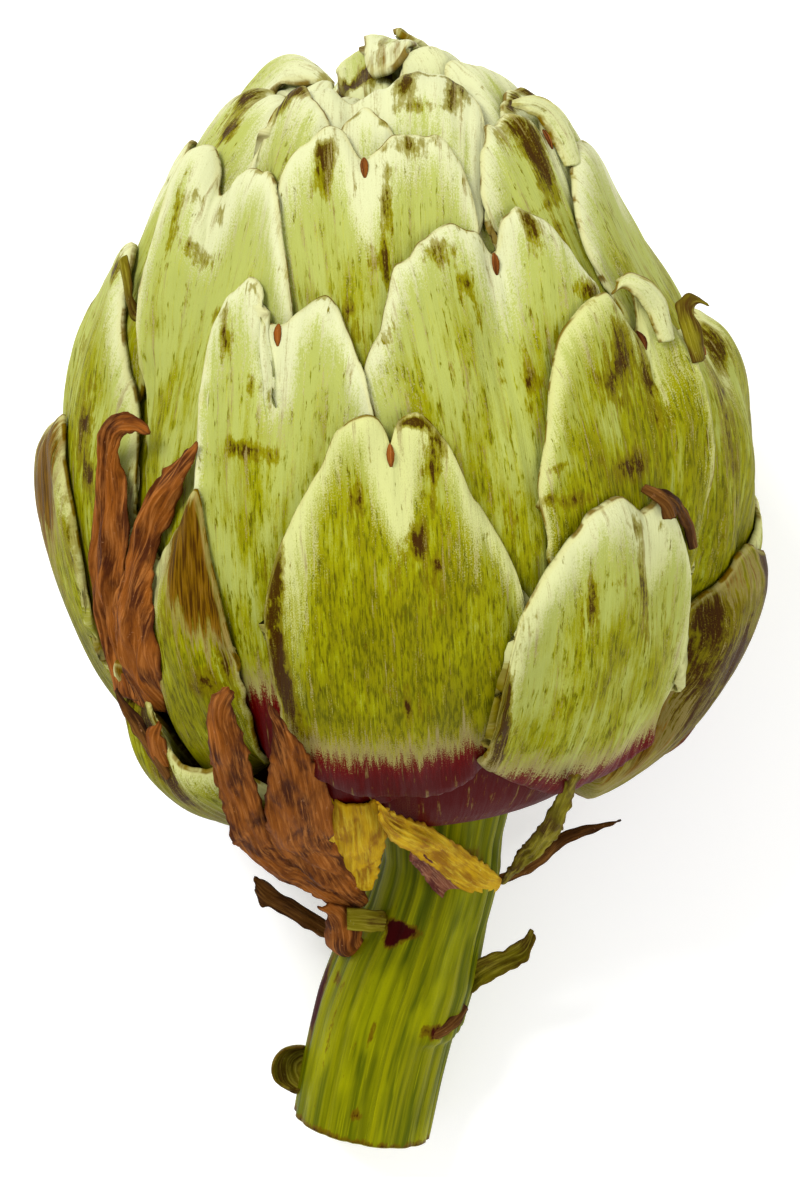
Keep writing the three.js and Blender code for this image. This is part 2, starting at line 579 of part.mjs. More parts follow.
// A leaf that stands free of the head: the flat bract laid along its path, lifted clear of the head.
function bladeSheet(row, reach) {
  const curve = new THREE.CatmullRomCurve3(row.path.map((p) => new THREE.Vector3(...p)), false, 'centripetal');
  const [faceRoot, faceTip] = row.face.map((v) => new THREE.Vector3(...v));
  const spec = { ...BRACT, baseWidth: 0.75, basePower: 1.1, notch: 0, ...row, length: curve.getLength() };
  return flatBract(spec).map((line) => line.map((c) => {
    const t = clamp(1 - c.y / spec.length, 0, 1);
    const along = curve.getTangentAt(t);
    const face = faceRoot.clone().lerp(faceTip, t);
    const side = new THREE.Vector3().crossVectors(along, face).normalize();
    const normal = new THREE.Vector3().crossVectors(side, along);
    const point = curve.getPointAt(t).addScaledVector(side, c.x)
      .addScaledVector(normal, -spec.crown * (c.x / spec.halfWidth) ** 2);
    const clear = reach.at(point.clone().normalize()) + GAP + BLADE_THICKNESS;
    if (point.length() < clear && t > 0.25) point.setLength(clear);
    return { point, normal };
  }));
}

function bladeSolid(row, reach) {
  const sheet = bladeSheet(row, reach);
  const columns = row.notch > 5 ? FORK_COLUMNS : BLADE_COLUMNS;
  const at = (offset) => BLADE_ROWS.map((j) => columns.map((i) =>
    sheet[j][i].point.clone().addScaledVector(sheet[j][i].normal, offset)));
  return solid(shellGeometry(at(BLADE_THICKNESS / 2), at(-BLADE_THICKNESS / 2)));
}

// ---------------------------------------------------------------- assembly

const group = new THREE.Group();
group.position.set(...HEAD_CENTRE);

function addPiece(name, shape, color, roughness) {
  const material = new THREE.MeshStandardMaterial({ color, roughness, metalness: 0 });
  const mesh = new THREE.Mesh(toGeometry(shape), material);
  mesh.name = name;
  group.add(mesh);
}

const { head, reach } = buildHead();
const roomForStem = solid(loftGeometry(stemRings(GAP)));
addPiece('head', mainBody(head.subtract(roomForStem)), 0x9aa83f, 0.55);
addPiece('stem', mainBody(buildStem()), 0x8d9a35, 0.5);
for (const row of BLADES) {
  addPiece(row.name, mainBody(bladeSolid(row, reach).subtract(roomForStem)), row.color, 0.7);
}

export default group;
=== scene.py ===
"""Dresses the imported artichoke: every bract, the stem, the dry bracts and the stem leaves.

Shapes are worked out in millimetres round the head centre, with the same spiral and the same draping
as the part's own source, on a finer grid. They go into metres when a mesh is made.
"""
import math

import bpy
import numpy as np
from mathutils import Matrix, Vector


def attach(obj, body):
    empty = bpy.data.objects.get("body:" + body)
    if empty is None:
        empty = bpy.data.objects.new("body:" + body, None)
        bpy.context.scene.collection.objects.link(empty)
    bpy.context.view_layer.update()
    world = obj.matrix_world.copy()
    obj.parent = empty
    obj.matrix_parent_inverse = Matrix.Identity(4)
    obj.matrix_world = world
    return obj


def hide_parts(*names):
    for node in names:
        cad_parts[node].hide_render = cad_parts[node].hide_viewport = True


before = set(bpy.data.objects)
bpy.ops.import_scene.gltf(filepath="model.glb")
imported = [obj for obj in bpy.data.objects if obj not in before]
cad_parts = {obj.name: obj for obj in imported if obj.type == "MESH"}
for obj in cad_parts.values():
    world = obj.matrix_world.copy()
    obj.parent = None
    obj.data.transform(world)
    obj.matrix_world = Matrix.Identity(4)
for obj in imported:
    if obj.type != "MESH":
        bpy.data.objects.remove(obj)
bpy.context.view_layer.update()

MM = 0.001

# ---------------------------------------------------------------- driving dimensions

HEAD_CENTRE = np.array([5.1, -3.7, 46.8])
TILT = math.radians(20)
YAW = math.radians(3.5)
GOLDEN_ANGLE = 137.508

# Outline of the head: distance along the axis towards the tip, distance from the axis.
HEAD_PROFILE = [
    (67.5, 0), (67.3, 7), (65.3, 14.5), (60.3, 21.8), (53, 28.5), (45, 34), (37, 39.5), (28, 45),
    (17, 49.3), (5, 51.3), (-6, 51), (-17, 48.8), (-26, 45), (-34, 39), (-40, 30.5), (-43.5, 19),
    (-44.5, 8), (-44.5, 0),
]
# The core lies this deep under the outline, on the sides and at the stem, with a hollow under the tip.
CORE_DEPTH = 7
CORE_BASE_DEPTH = 1.5
TIP_HOLLOW = 12

# n: a bract's place in the spiral, the outermost one lowest. tip: arc from the pole of the head to its
# top edge. GROWTH: how wide and how long a bract is by its place.
SPIRAL_N = [-20, -13, -11, -9, -6, -5, -3, 0, 3, 5, 8, 10, 13, 16, 21, 30, 45]
SPIRAL_TIP = [128, 122, 108, 101, 84, 80, 73, 63.6, 53, 47, 38, 31, 24, 20, 13, 6, 1]
GROWTH_N = [-20, -9, -5, 0, 8, 13, 21, 30, 45]
GROWTH_HALF_WIDTH = [9, 15, 19, 20, 18.5, 16, 12, 8, 5]
GROWTH_LENGTH = [16, 30, 48, 56, 70, 60, 50, 40, 24]

# Shape and colour that all bracts share. A row of BRACTS may change any of it.
# outline: the top edge laid flat, from the left shoulder over the lobes and the notch to the right one,
# as (across, down from the apex). Where it is None, notch and notch_width shape a plain top edge.
# proud, sink, crown, belly, flare, curl, side_curl: how the bract stands off the head's outline, in mm.
# hug: how closely it lies on the bracts below it. thick, edge, lobe_edge: thickness inside and at the rims.
# pale, side_pale, blotches: strength of its tones. shade: how much darker the whole bract is drawn; in the
# row n=32 it is painted shade. purple: arc at which its purple base starts.
# Stain spots, dries and blooms are soft spots: (across, down, reach across, reach down, strength). The stain
# spots are the bract's own stains, except in the rows n=32 and n=33, where they are painted shade.
BRACT = dict(
    outline=None, base_width=0.5, base_power=1.6, notch=4, notch_width=0.16, bend=0, ragged=0.2,
    proud=0, sink=0.10, crown=2.4, belly=0, flare=0, curl=1.8, curl_length=6, side_curl=0.7, hug=0.5,
    thick=1.9, edge=0.7, lobe_edge=0.7, dimple=1.2, spine=1.0,
    pale=1.0, side_pale=0.12, shade=0, purple=124, blotches=0.5, stains_and_shade=(), dries=(), blooms=(),
)
NOTCH_SHOWS = 0.6            # a top edge that dips by more than this has a notch, with a thorn in it
CROWN_FROM = 18              # bracts from here on up the spiral make the pale crown
BRACT_GRID = (61, 56)        # columns and rows of a bract's sheet
DRAWN_COLUMNS = 85           # columns where the bract has an outline of its own
SMALL_GRID = (37, 36)        # for the bracts of the crown and round the stem

BRACTS = [
    # The lowest bracts round the stem are purple all over: partly their own purple, partly painted shade under
    # the head.
    *(dict(n=n, proud=-6, purple=90) for n in (-20, -19, -17, -15, -14, -12)),
    dict(n=-16, layer=46, phi=-16, tip=118, half_width=11, length=17, notch=1, purple=100, proud=-3, spine=0),
    dict(n=-11, phi=-56, tip=106, length=38, flare=4, hug=2.4, sink=0.05, proud=3.2, purple=150, shade=0.2,
         dimple=0, spine=0, blotches=1.2,
         outline=[(-14, 28), (-11, 20), (-8.6, 13), (-6.2, 6), (-4.8, 2), (-3.4, 0.4), (-1.6, 1), (0.6, 3),
                  (4.8, 5.6), (5.8, 9.4), (7.4, 12.5), (12, 14.6), (15.4, 16.4), (17.4, 20), (18, 27)],
         stains_and_shade=[(-0.4, 3, 1.5, 3, 1.2), (3, 9, 1.8, 7, 1.2), (5, 17, 1.5, 6, 0.8), (2, 18, 9, 12, 0.2)],
         dries=[(-1, 1, 2, 2, 0.9)]),
    dict(n=-10, layer=-4.6, phi=80, tip=99, length=54, flare=2, sink=0.02, proud=1.5, purple=150, shade=1.0,
         pale=0.3, dimple=0, spine=0, blotches=1.6,
         outline=[(-22, 40), (-21, 33), (-19.5, 28), (-19, 22), (-20.5, 16), (-20, 12), (-18.5, 7),
                  (-15.5, 4.5), (-12.5, 2.5), (-9, -0.5), (-5, -1), (0, 1.5), (5, 6), (9, 13), (12, 24),
                  (13, 38)],
         stains_and_shade=[(-8, 16, 18, 24, 0.85), (-17, 30, 9, 14, 0.5)],
         dries=[(-10, 1, 6, 4, 0.5), (-18, 32, 6, 9, 0.7)]),
    dict(n=-9, phi=-160, tip=100, half_width=17, length=40),
    dict(n=-7, phi=122, tip=86, half_width=18, length=52, sink=0.05),
    dict(n=-6, phi=-84, tip=77.5, length=76, proud=-0.3, flare=1, crown=1, sink=0.06, purple=140, shade=0.2,
         dimple=0, spine=0, base_width=0.25, base_power=1.6,
         outline=[(-16, 32), (-15, 22), (-13, 12), (-9, 4), (-5, 0), (-1, -1.5), (2, -2.5), (5, -4.8),
                  (7.4, -3.4), (9.6, 0.6), (11.2, 4.8), (12.6, 9.7), (13, 15), (12.4, 20), (11, 28)],
         dries=[(5, 2, 4, 7, 0.9), (1, 10, 4, 8, 0.8)],
         stains_and_shade=[(11, 14, 2.5, 6, 0.7)]),
    dict(n=-5, phi=38, tip=80, length=57, bend=0.5, base_width=0.12, sink=0.02, purple=128, shade=-0.3,
         edge=1.1, hug=1, pale=1.5, crown=3, spine=0, blotches=1.1, lobe_edge=1.3, dimple=0.5,
         outline=[(-21.4, 34), (-21, 26), (-20.2, 19), (-18.8, 14), (-16.6, 10.5), (-13.4, 6.8), (-10, 3.6),
                  (-7.2, 1.4), (-4.8, 0.2), (-2.3, 0), (0.5, 1), (2.4, 2.6), (3.4, 3.8), (4.6, 3.1),
                  (7.3, 2.6), (9.6, 4.4), (11.8, 8), (13.6, 12.4), (14.8, 17), (15.6, 23), (15.8, 30),
                  (15.2, 37)],
         stains_and_shade=[(0.8, 4, 1.4, 1.6, 0.5), (1.5, 9, 0.9, 4.4, 0.8), (2.5, 16, 1, 3.7, 0.8),
                 (-7.4, 13, 0.8, 2.9, 0.8), (-3.5, 11, 1.4, 2, 0.5), (-6.1, 16, 2.3, 3, 0.4),
                 (5.7, 6, 1.2, 1.6, 0.6), (7.5, 17, 1.3, 4.6, 0.5), (2.8, 22, 4, 2.2, 0.3),
                 (-10.4, 31, 1.3, 3.6, 0.4), (-21, 31, 1.4, 8, 1.3), (-20.8, 24, 0.9, 5, 1),
                 (-19.5, 42, 1.6, 9, 1.3)]),
    dict(n=-4, phi=172, tip=78, half_width=19, length=56),
    dict(n=-3, phi=-46, tip=68.5, length=64, base_width=0.3, sink=0.03, purple=137, dimple=0, spine=0,
         blotches=0.8, shade=0.2, curl_length=3, curl=1,
         outline=[(-6.6, 34), (-7.2, 29), (-8, 24), (-8.4, 18.5), (-7.2, 15.2), (-4.4, 15), (-1.2, 17),
                  (0.4, 18.6), (1.8, 16.8), (4, 14.3), (6.4, 11.1), (8.3, 7.9), (9.5, 6.1), (10.6, 8.8),
                  (11.4, 13.6), (12.5, 19.8), (13.4, 25), (14.1, 31)],
         stains_and_shade=[(-6, 22, 1.6, 8, 0.9), (10, 12, 1.6, 6, 1.1), (10.9, 22, 2, 5, 1.2), (8.6, 36, 2, 3.2, 1),
                 (5, 26, 1.2, 5, 0.8), (12.5, 31, 1, 5, 0.9)],
         dries=[(7.2, 13, 2.8, 8, 1), (9.8, 21, 2.4, 6.5, 0.9), (-3.5, 32, 3.6, 8, 0.75),
                (11.5, 12, 1.2, 8, 0.8), (13.4, 25, 1, 7, 0.8)]),
    dict(n=-2, phi=92, tip=94, half_width=14, length=42, proud=-6, sink=0.05, shade=0.3),
    dict(n=-1, phi=-136, tip=66, half_width=20, length=66),
    dict(n=0, phi=-0.8, tip=63.3, length=70, belly=2, base_width=0.35, sink=0.03, purple=119, lobe_edge=1.5,
         shade=0.22, pale=0.85, side_pale=0.35,
         blooms=[(0, 8, 2.4, 6, 0.5), (0.6, 15, 1.2, 6, 0.45), (-13.4, 19, 2, 9, 0.4),
                 (-14.6, 33, 1.6, 8, 0.35), (11, 13, 2.4, 6, 0.3)],
         outline=[(-20, 34), (-19.6, 27), (-17.9, 21), (-15.5, 15.5), (-12.9, 11), (-10.4, 7.2),
                  (-8.7, 4.4), (-7, 2.2), (-5, 1), (-2.8, 0.9), (-1.2, 1.7), (-0.4, 3), (-0.05, 4.4),
                  (0.3, 3), (1.2, 1.4), (3.2, 0.6), (5.5, 1.6), (7.9, 5), (9.7, 9), (11.6, 12.6),
                  (14.2, 17), (16.3, 21.5), (17.6, 26.5), (18.2, 34)],
         stains_and_shade=[(-4.9, 11, 0.8, 1.9, 0.8), (5.5, 8, 0.5, 3.8, 0.9), (3.4, 1.8, 2.6, 0.8, 1.3),
                 (6.9, 4.4, 0.8, 1.8, 0.9), (2.9, 18, 0.8, 2.5, 1.2), (5.3, 21, 0.5, 0.8, 0.8),
                 (-9.8, 23, 0.6, 1.1, 0.7), (-6.8, 14, 1.9, 4.1, 0.35), (4.3, 15, 1.4, 7.5, 0.45),
                 (0, 26, 1.2, 7.1, 0.4), (5.4, 26, 2.4, 5.7, 0.25), (-7, 41, 0.6, 4.6, 0.4),
                 (0.1, 41, 0.4, 3.5, 0.9), (2, 42, 0.4, 2.6, 0.9), (3.2, 42, 0.3, 1.6, 0.8),
                 (-1.3, 36, 1.4, 0.6, 0.6), (-2.8, 39, 0.8, 0.9, 0.6), (-17.4, 20, 1, 5.6, 1.1),
                 (-18.6, 32, 1.4, 9.7, 1.2), (-16.6, 43, 1.3, 7.1, 1.1), (-13.9, 51, 1.5, 5, 0.9)]),
    dict(n=2, phi=-78, tip=48.5, length=76, proud=0, flare=1.5, crown=3.5, blotches=0.8, dimple=0, spine=0,
         lobe_edge=1.2,
         outline=[(-17, 30), (-16, 20), (-13, 12), (-9.5, 6.8), (-6.2, 4.2), (-3.3, 2), (-0.5, -0.5),
                  (2, -2), (4, -2.6), (5.6, -1.6), (6.8, 0.4), (8.6, 3), (11, 7), (14, 12), (17, 17),
                  (19.4, 23), (21, 30)],
         stains_and_shade=[(4.5, 2, 1.6, 1.8, 1.3), (-5, 8, 3, 3, 0.9), (0, 14, 2.4, 2.2, 0.7), (8, 26, 2, 6, 0.8),
                 (10, 30, 1.6, 2, 0.9)]),
    dict(n=3, phi=45, tip=52, length=76, shade=0.25, dimple=0.5, edge=1.4, hug=1.6, lobe_edge=1.2,
         outline=[(-18.9, 26), (-18.4, 22), (-16, 17), (-13.5, 12), (-10.2, 6), (-7.4, 3.7), (-4.1, 2),
                  (-1.4, 1.4), (1, 1.6), (3, 3), (5.3, 5.3), (6.6, 7), (7.4, 5.4), (8.3, 2), (10, 0.9),
                  (11.4, 2.6), (12.4, 7), (13, 13), (13.4, 20), (13.8, 27)],
         stains_and_shade=[(0.4, 8, 1.6, 3.6, 0.8), (-3.7, 12, 2.4, 3.1, 0.7), (2.9, 14, 3.9, 5.8, 0.5),
                 (5, 18, 1.2, 7.9, 0.6), (-3.4, 24, 3.2, 1.9, 0.8), (-14.9, 21, 1.4, 0.7, 1.1),
                 (-15.1, 26, 3.4, 1.1, 0.6), (-11.3, 27, 1.9, 1.1, 0.6), (-1.2, 26, 2.6, 1.9, 0.7),
                 (-17.9, 25, 0.9, 0.8, 0.9)]),
    dict(n=5, phi=-21, tip=46.7, length=82, crown=4, pale=1.3, base_width=0.2, bend=0.5, sink=0.08,
         purple=110, lobe_edge=1.3, shade=-0.25,
         outline=[(-14.4, 33), (-13.2, 25), (-12.4, 17), (-12, 8.7), (-11.5, 4.3), (-10.4, 2.2),
                  (-8.6, 0.6), (-6.4, -0.3), (-4.6, -0.4), (-3.5, 0.7), (-3.3, 4.7), (-1.7, 4.8),
                  (0.3, 4.1), (2.2, 2.2), (3.8, 0.8), (4.9, 0.4), (6.3, 1.5), (8.2, 4.4), (10, 7.7),
                  (12, 11.7), (13.4, 15.5), (14.5, 20)],
         stains_and_shade=[(-8.6, 5, 0.8, 3, 0.8), (-7.7, 8, 0.8, 1.7, 0.8), (-4.2, 13, 0.9, 1.4, 0.8),
                 (-1.2, 15, 0.6, 1.7, 0.6), (-3.9, 22, 2.7, 1.2, 1), (-0.4, 23, 1.2, 0.9, 0.5),
                 (-6.9, 21, 0.9, 1.4, 0.7), (-1.9, 38, 1.5, 5.6, 0.3), (-2.6, 49, 2.1, 4.6, 0.3),
                 (-4.4, 1, 0.9, 0.7, 0.8), (4.4, 1, 1.4, 0.6, 0.6)]),
    dict(n=6, phi=86, tip=60, length=66, proud=2.4, blotches=0.9, base_width=0.6, shade=0.15, lobe_edge=1.1,
         outline=[(-23.5, 35), (-26.6, 27.6), (-28, 19), (-28, 13.5), (-27.3, 8.8), (-25.2, 4.9),
                  (-21.6, 2.1), (-16.4, 1), (-13.3, 1.7), (-11, 4.6), (-8, 3.6), (-4, 2.5), (0, 3.5),
                  (4, 7), (7, 13), (9, 22), (9.5, 35)],
         stains_and_shade=[(-14, 12, 2, 7, 0.9), (-20, 12, 1.4, 4, 0.5), (-16, 22, 2, 6, 0.5), (-8, 8, 2, 4, 0.8)]),
    dict(n=7, phi=-112, tip=48, proud=-3),
    dict(n=8, phi=20, tip=39, length=84, base_width=0.3, lobe_edge=1.3, shade=-0.12,
         outline=[(-18.7, 18), (-17.9, 15), (-15.4, 12), (-13.2, 8.3), (-12, 5.6), (-10.4, 3.9),
                  (-7.9, 2.4), (-5.2, 0.8), (-2.9, 0.2), (-1.2, 0.5), (0.4, 1.5), (1.9, 2.4), (3.1, 3.1),
                  (3.8, 3.5), (4.4, 2.5), (4.9, 0.9), (6.1, -0.3), (8.1, -0.6), (9.9, 0.2), (12.6, 2.4),
                  (14.5, 4.8), (16.4, 7.4), (18.3, 10), (19.3, 16)],
         stains_and_shade=[(-4.5, 4, 2, 1.7, 0.8), (-2, 8, 1.4, 1.4, 0.9), (-0.9, 12, 0.8, 2.9, 0.8),
                 (1.4, 19, 0.6, 5.4, 0.6), (4.5, 19, 0.6, 5.5, 0.5), (4, 27, 0.6, 4.2, 0.5),
                 (8.9, 3, 1, 2.2, 0.9), (8, 1, 0.8, 1.2, 0.6), (15.6, 11, 2.5, 1.2, 0.9),
                 (10.4, 17, 1.3, 2.4, 0.8), (9.5, 20, 1.6, 0.9, 0.7), (5.9, 22, 1.3, 1.4, 0.6),
                 (-0.3, 29, 1.1, 0.7, 0.5), (0.3, 37, 0.9, 0.8, 0.5), (-0.3, 41, 1.7, 3.8, 0.4),
                 (-9.2, 24, 4.1, 0.8, 0.3), (-13.6, 13, 1.9, 1.4, 0.4), (0, 1, 1.1, 0.7, 0.8),
                 (1.4, 3, 1.2, 0.7, 0.6)]),
    dict(n=10, phi=-41, tip=29.8, length=66, proud=-0.8, lobe_edge=1.1, shade=-0.15, spine=0, pale=1.2,
         outline=[(-13, 17), (-12.3, 9), (-11.6, 3.5), (-10.6, 0.6), (-9, -0.9), (-7.2, -1.3), (-5.6, 0.4),
                  (-4.7, 3.9), (-3.1, 3), (-1, 1.6), (1, 0.8), (2.8, 0.9), (4.9, 2), (6.6, 3.4), (8.4, 5.8),
                  (10.9, 10.9), (13.3, 16.2), (14.6, 21)],
         stains_and_shade=[(-4.9, 13, 2.3, 1.3, 0.9), (-2.7, 7, 0.7, 1.3, 0.8), (-6.5, 6, 0.6, 1.3, 0.8),
                 (3.3, 1, 1.6, 0.8, 0.9), (5.5, 2, 0.6, 1.2, 0.9), (2.7, 20, 2, 1.2, 0.8),
                 (4.9, 18, 1.6, 0.9, 0.6), (-4.7, 19, 0.8, 1.9, 0.4), (-8.9, 9, 0.7, 5.2, 0.7)]),
    dict(n=11, phi=76, tip=33, half_width=16, proud=0.2, purple=106, spine=0),
    dict(n=13, phi=-2, tip=22.7, length=60, lobe_edge=1.2, shade=0.06, pale=1.15,
         outline=[(-13.8, 15), (-12.7, 9.5), (-11.9, 7.2), (-10.6, 5.4), (-9, 4.3), (-7.2, 3.3),
                  (-5.8, 2.2), (-4.7, 2), (-3.6, 2.5), (-2.3, 4.5), (-0.9, 6.3), (0.4, 5.6), (1.8, 4.5),
                  (3.2, 3.2), (5, 2.5), (6.8, 2.6), (9.4, 3.1), (11.5, 5.2), (12.9, 8.1), (14.4, 13)],
         stains_and_shade=[(-6.6, 9, 1.1, 3, 0.9), (-5.8, 6, 1.1, 1.4, 0.6), (5.2, 5, 1.9, 1.7, 1),
                 (2, 12, 0.7, 4.1, 0.9), (1.1, 18, 0.8, 4, 0.7), (1.4, 22, 0.4, 2.8, 0.9),
                 (11.5, 4, 0.9, 2.3, 0.8), (13.5, 8, 0.8, 2, 0.7), (-4.4, 26, 1.1, 1.1, 0.9),
                 (-3.1, 29, 0.7, 1.7, 0.7)]),
    dict(n=14, tip=32, proud=-5),
    dict(n=15, phi=-76, tip=28.5, half_width=15, proud=-1.5, spine=0),
    dict(n=16, phi=52, tip=25, length=57, lobe_edge=1.1, shade=0.1,
         outline=[(-13.6, 12), (-13, 7.6), (-9.8, 3.7), (-7, 1.8), (-4.4, 0.9), (-2.8, 1.1), (-0.6, 2.2),
                  (1.4, 3.8), (2.8, 4.6), (4.2, 2.4), (6.5, 0.9), (9, 1.4), (11, 4), (12.5, 8), (13.4, 14)],
         stains_and_shade=[(-3.4, 5, 2.4, 3, 0.7), (-1.9, 8, 1.8, 2.9, 0.8), (-2, 12, 1.9, 2.9, 0.6),
                 (-3.3, 3, 1.4, 1.2, 0.5), (-6.4, 14, 3.5, 0.7, 0.6), (-4.3, 20, 0.7, 2.8, 0.6),
                 (1, 17, 5.4, 0.7, 0.5)]),
    dict(n=17, proud=-1.5),
    dict(n=18, phi=-36, tip=20.5, length=50, hug=4, dimple=0, spine=0, lobe_edge=1,
         outline=[(-4.6, 12), (-3.2, 8), (-2.4, 4), (-2.5, 0), (-1.6, -2.3), (0, -3.3), (1.7, -2.5),
                  (3.6, -1.2), (6, 0.4), (8, 2.4), (10, 8)],
         stains_and_shade=[(-1, 0, 1.6, 2.6, 1.2), (0.8, -2, 1.4, 1.2, 1.2)]),
    dict(n=19, phi=82, tip=16, length=40, proud=-2, sink=0.3, hug=4, dimple=0, spine=0,
         outline=[(-15.5, 14), (-15, 9), (-13.7, 5.2), (-10.2, 4.6), (-6.5, 5.2), (-2.6, 7.6), (0, 11),
                  (1.5, 16)],
         stains_and_shade=[(-9, 6, 3, 1, 1.3), (-4, 8, 2, 1.5, 0.9)]),
    dict(n=20, phi=-142, tip=26, proud=-5),
    dict(n=20.5, phi=-3, tip=19, length=26, hug=9, spine=0, dimple=0,
         outline=[(-4.8, 9), (-4.2, 6), (-3.2, 2.4), (-2.2, 1), (-0.9, 0.9), (0.9, 2), (2.3, 3.2),
                  (3.6, 5.5), (4.4, 9)],
         stains_and_shade=[(-2.6, 1.6, 1.4, 0.7, 1.1), (2.4, 3.4, 0.8, 1.2, 0.9)]),
    dict(n=21, phi=-4, tip=14.5, length=50, hug=9, lobe_edge=1.1, spine=0, shade=-0.4, pale=1.6,
         outline=[(-13, 12), (-12.4, 8), (-11.6, 4.4), (-10.9, 1), (-9.4, -1), (-7.3, -1.6), (-5.1, -1.5),
                  (-3.4, 0.2), (-2, 1.4), (-0.9, 0.6), (0.8, 0.3), (2.9, -0.6), (4.5, -3.1), (6.5, -5.1),
                  (9.3, -5.3), (12.2, -4.1), (14.5, -1.4), (16.1, 2.8), (17, 8)],
         stains_and_shade=[(5.4, 1, 1.5, 2.4, 0.9), (7.5, 5, 3, 1, 0.9), (11.5, 2, 0.8, 4, 0.9), (9, -2, 3, 0.6, 0.8),
                 (13.5, 1, 0.8, 3, 0.9)]),
    dict(n=22, phi=151, tip=9, length=34, proud=-4, sink=0.3, hug=2, dimple=0, spine=0, lobe_edge=1.1,
         outline=[(-4.5, 12), (-4, 7), (-3, 2), (-1.5, 0), (0.5, -0.5), (2, 1), (3.2, 5), (3.6, 12)],
         stains_and_shade=[(0, 0, 2, 1, 0.9)]),
    dict(n=23, phi=-66, tip=14.5, length=48, hug=7, dimple=0, spine=0,
         outline=[(-9.5, 13), (-8.6, 8), (-8.2, 5), (-7.2, 3.2), (-4, 2), (-1.1, 1.2), (2.6, 1), (5.8, 1.8),
                  (8.7, 3.1), (10.5, 7), (11.5, 13)],
         stains_and_shade=[(-1, 6, 1.6, 4, 1), (1.5, 11, 1.4, 2.8, 0.9), (-3, 4, 1.4, 2.4, 0.8)]),
    dict(n=24, phi=42, tip=11.5, half_width=12),
    dict(n=25, phi=176, tip=-1.5, length=30, proud=0, sink=0.3, hug=8.4, dimple=0, spine=0, lobe_edge=1.2,
         outline=[(-7, 10), (-6.4, 5), (-5.8, 0), (-4.8, -2.6), (-2.5, -3.4), (-0.3, -2.8), (0.9, 0),
                  (1.2, 5), (1.6, 10)],
         stains_and_shade=[(-2.5, 2, 3, 3, 0.4)], dries=[(-2.5, -1, 3, 2, 0.4)]),
    dict(n=27, phi=100, tip=10, length=44, proud=0, sink=0.2, hug=7, dimple=0, spine=0, lobe_edge=1,
         outline=[(-17, 13), (-16.6, 8), (-15.3, 3), (-12, 2.4), (-7.8, 3.2), (-3.9, 5.5), (0.2, 9),
                  (2.7, 13), (4, 18)],
         stains_and_shade=[(-12, 4, 2, 1, 0.8)]),
    dict(n=28, phi=-125, tip=8, length=42, proud=-2.5, sink=0.35, hug=6, dimple=0, spine=0, lobe_edge=1,
         outline=[(0, 8), (1.5, 3), (3.4, 0.5), (4.7, -2.2), (7, -5.6), (8.6, -7), (10, -6.2), (11, -3.5),
                  (11.6, 0), (12, 6)],
         stains_and_shade=[(6, -3, 1.5, 1, 0.9), (10, -6, 2, 1, 0.7)]),
    dict(n=29, tip=5, proud=0.5, shade=0.1),
    dict(n=30, phi=165, length=30, tip=0, proud=0, sink=0.3, hug=7.4, dimple=0, spine=0,
         outline=[(-14, 6), (-13.4, 0), (-12.4, -4), (-9.5, -5.5), (-7, -6.2), (-5.4, -5.5), (-4.6, 0),
                  (-4, 6)],
         stains_and_shade=[(-9, -4, 3, 1, 1)]),
    dict(n=31, phi=-150, tip=4, length=28, proud=0, sink=0.3, hug=7, dimple=0, spine=0,
         outline=[(5, 0), (6.5, -5), (8.2, -9.5), (9, -12.7), (10.2, -14.8), (12, -14.2), (13.5, -10),
                  (14.5, -5), (15, 0)],
         stains_and_shade=[(9, -10, 1, 3, 0.8)]),
    # A dark inner bract: its shade and its broad stain spot are painted shade, for the dark opening among the
    # crown's bracts.
    dict(n=32, proud=-2, shade=1,
         stains_and_shade=[(0, 4, 12, 8, 1)]),
    # Its stain spot, low on the part that shows, is painted shade, for the dark opening among the crown's
    # bracts.
    dict(n=33, phi=180, tip=5, shade=0.2, proud=0, sink=0.3, length=24, hug=9, dimple=0, spine=0,
         outline=[(-6, -2), (-5.4, -7), (-3.5, -10.8), (0, -11.4), (3.2, -10.9), (5, -7), (5.6, -2)],
         stains_and_shade=[(1, -5, 5, 2.4, 1.4)]),
    *(dict(n=n) for n in (1, 4, 9, 12, 26)),
]

STEM_PATH = [
    (6.3, -42.2, -15.0), (5.6, -50.7, -18.6), (4.0, -57.5, -22.8), (1.3, -65.5, -28.0),
    (-1.5, -74.0, -32.2), (-3.7, -83.0, -35.8), (-5.5, -92.2, -38.0),
]
STEM_RADIUS = [10.5, 8.6, 8.8, 10.2, 10.6, 10.5, 10.4]
STEM_TOP_RISE = 3
# Scars and dark marks: share of the length from the head, degrees round the stem, reach of each, strength.
STEM_MARKS = [
    (0.33, 22, 0.022, 20, 1.3), (0.37, 26, 0.03, 8, 1.2), (0.62, -38, 0.03, 14, 0.9),
    (0.58, 62, 0.03, 9, 0.6), (0.93, 12, 0.02, 6, 0.6), (0.75, 50, 0.18, 3, 0.45), (0.6, 88, 0.4, 6, 0.6),
    (0.7, 100, 0.06, 16, 1.2), (0.12, -20, 0.04, 30, 0.6), (0.66, 14, 0.05, 2, 0.8), (0.72, 26, 0.04, 2, 0.6),
]

CAMERA_HEIGHT = 900          # above the head centre
PIXELS_PER_MM = 7.0          # at the head centre, in the 800 x 1177 picture
PICTURE = (800, 1177)
HEAD_CENTRE_PIXEL = (399, 500)
SENSOR_WIDTH = 36

SURFACE_SHARE = 0.74         # share of a shown colour that a surface has under this light
SKIN_IOR = 1.12              # low, because the skin is dull and felted
UP_WORLD = np.array([0.0, 0.0, 1.0])

# ---------------------------------------------------------------- small helpers

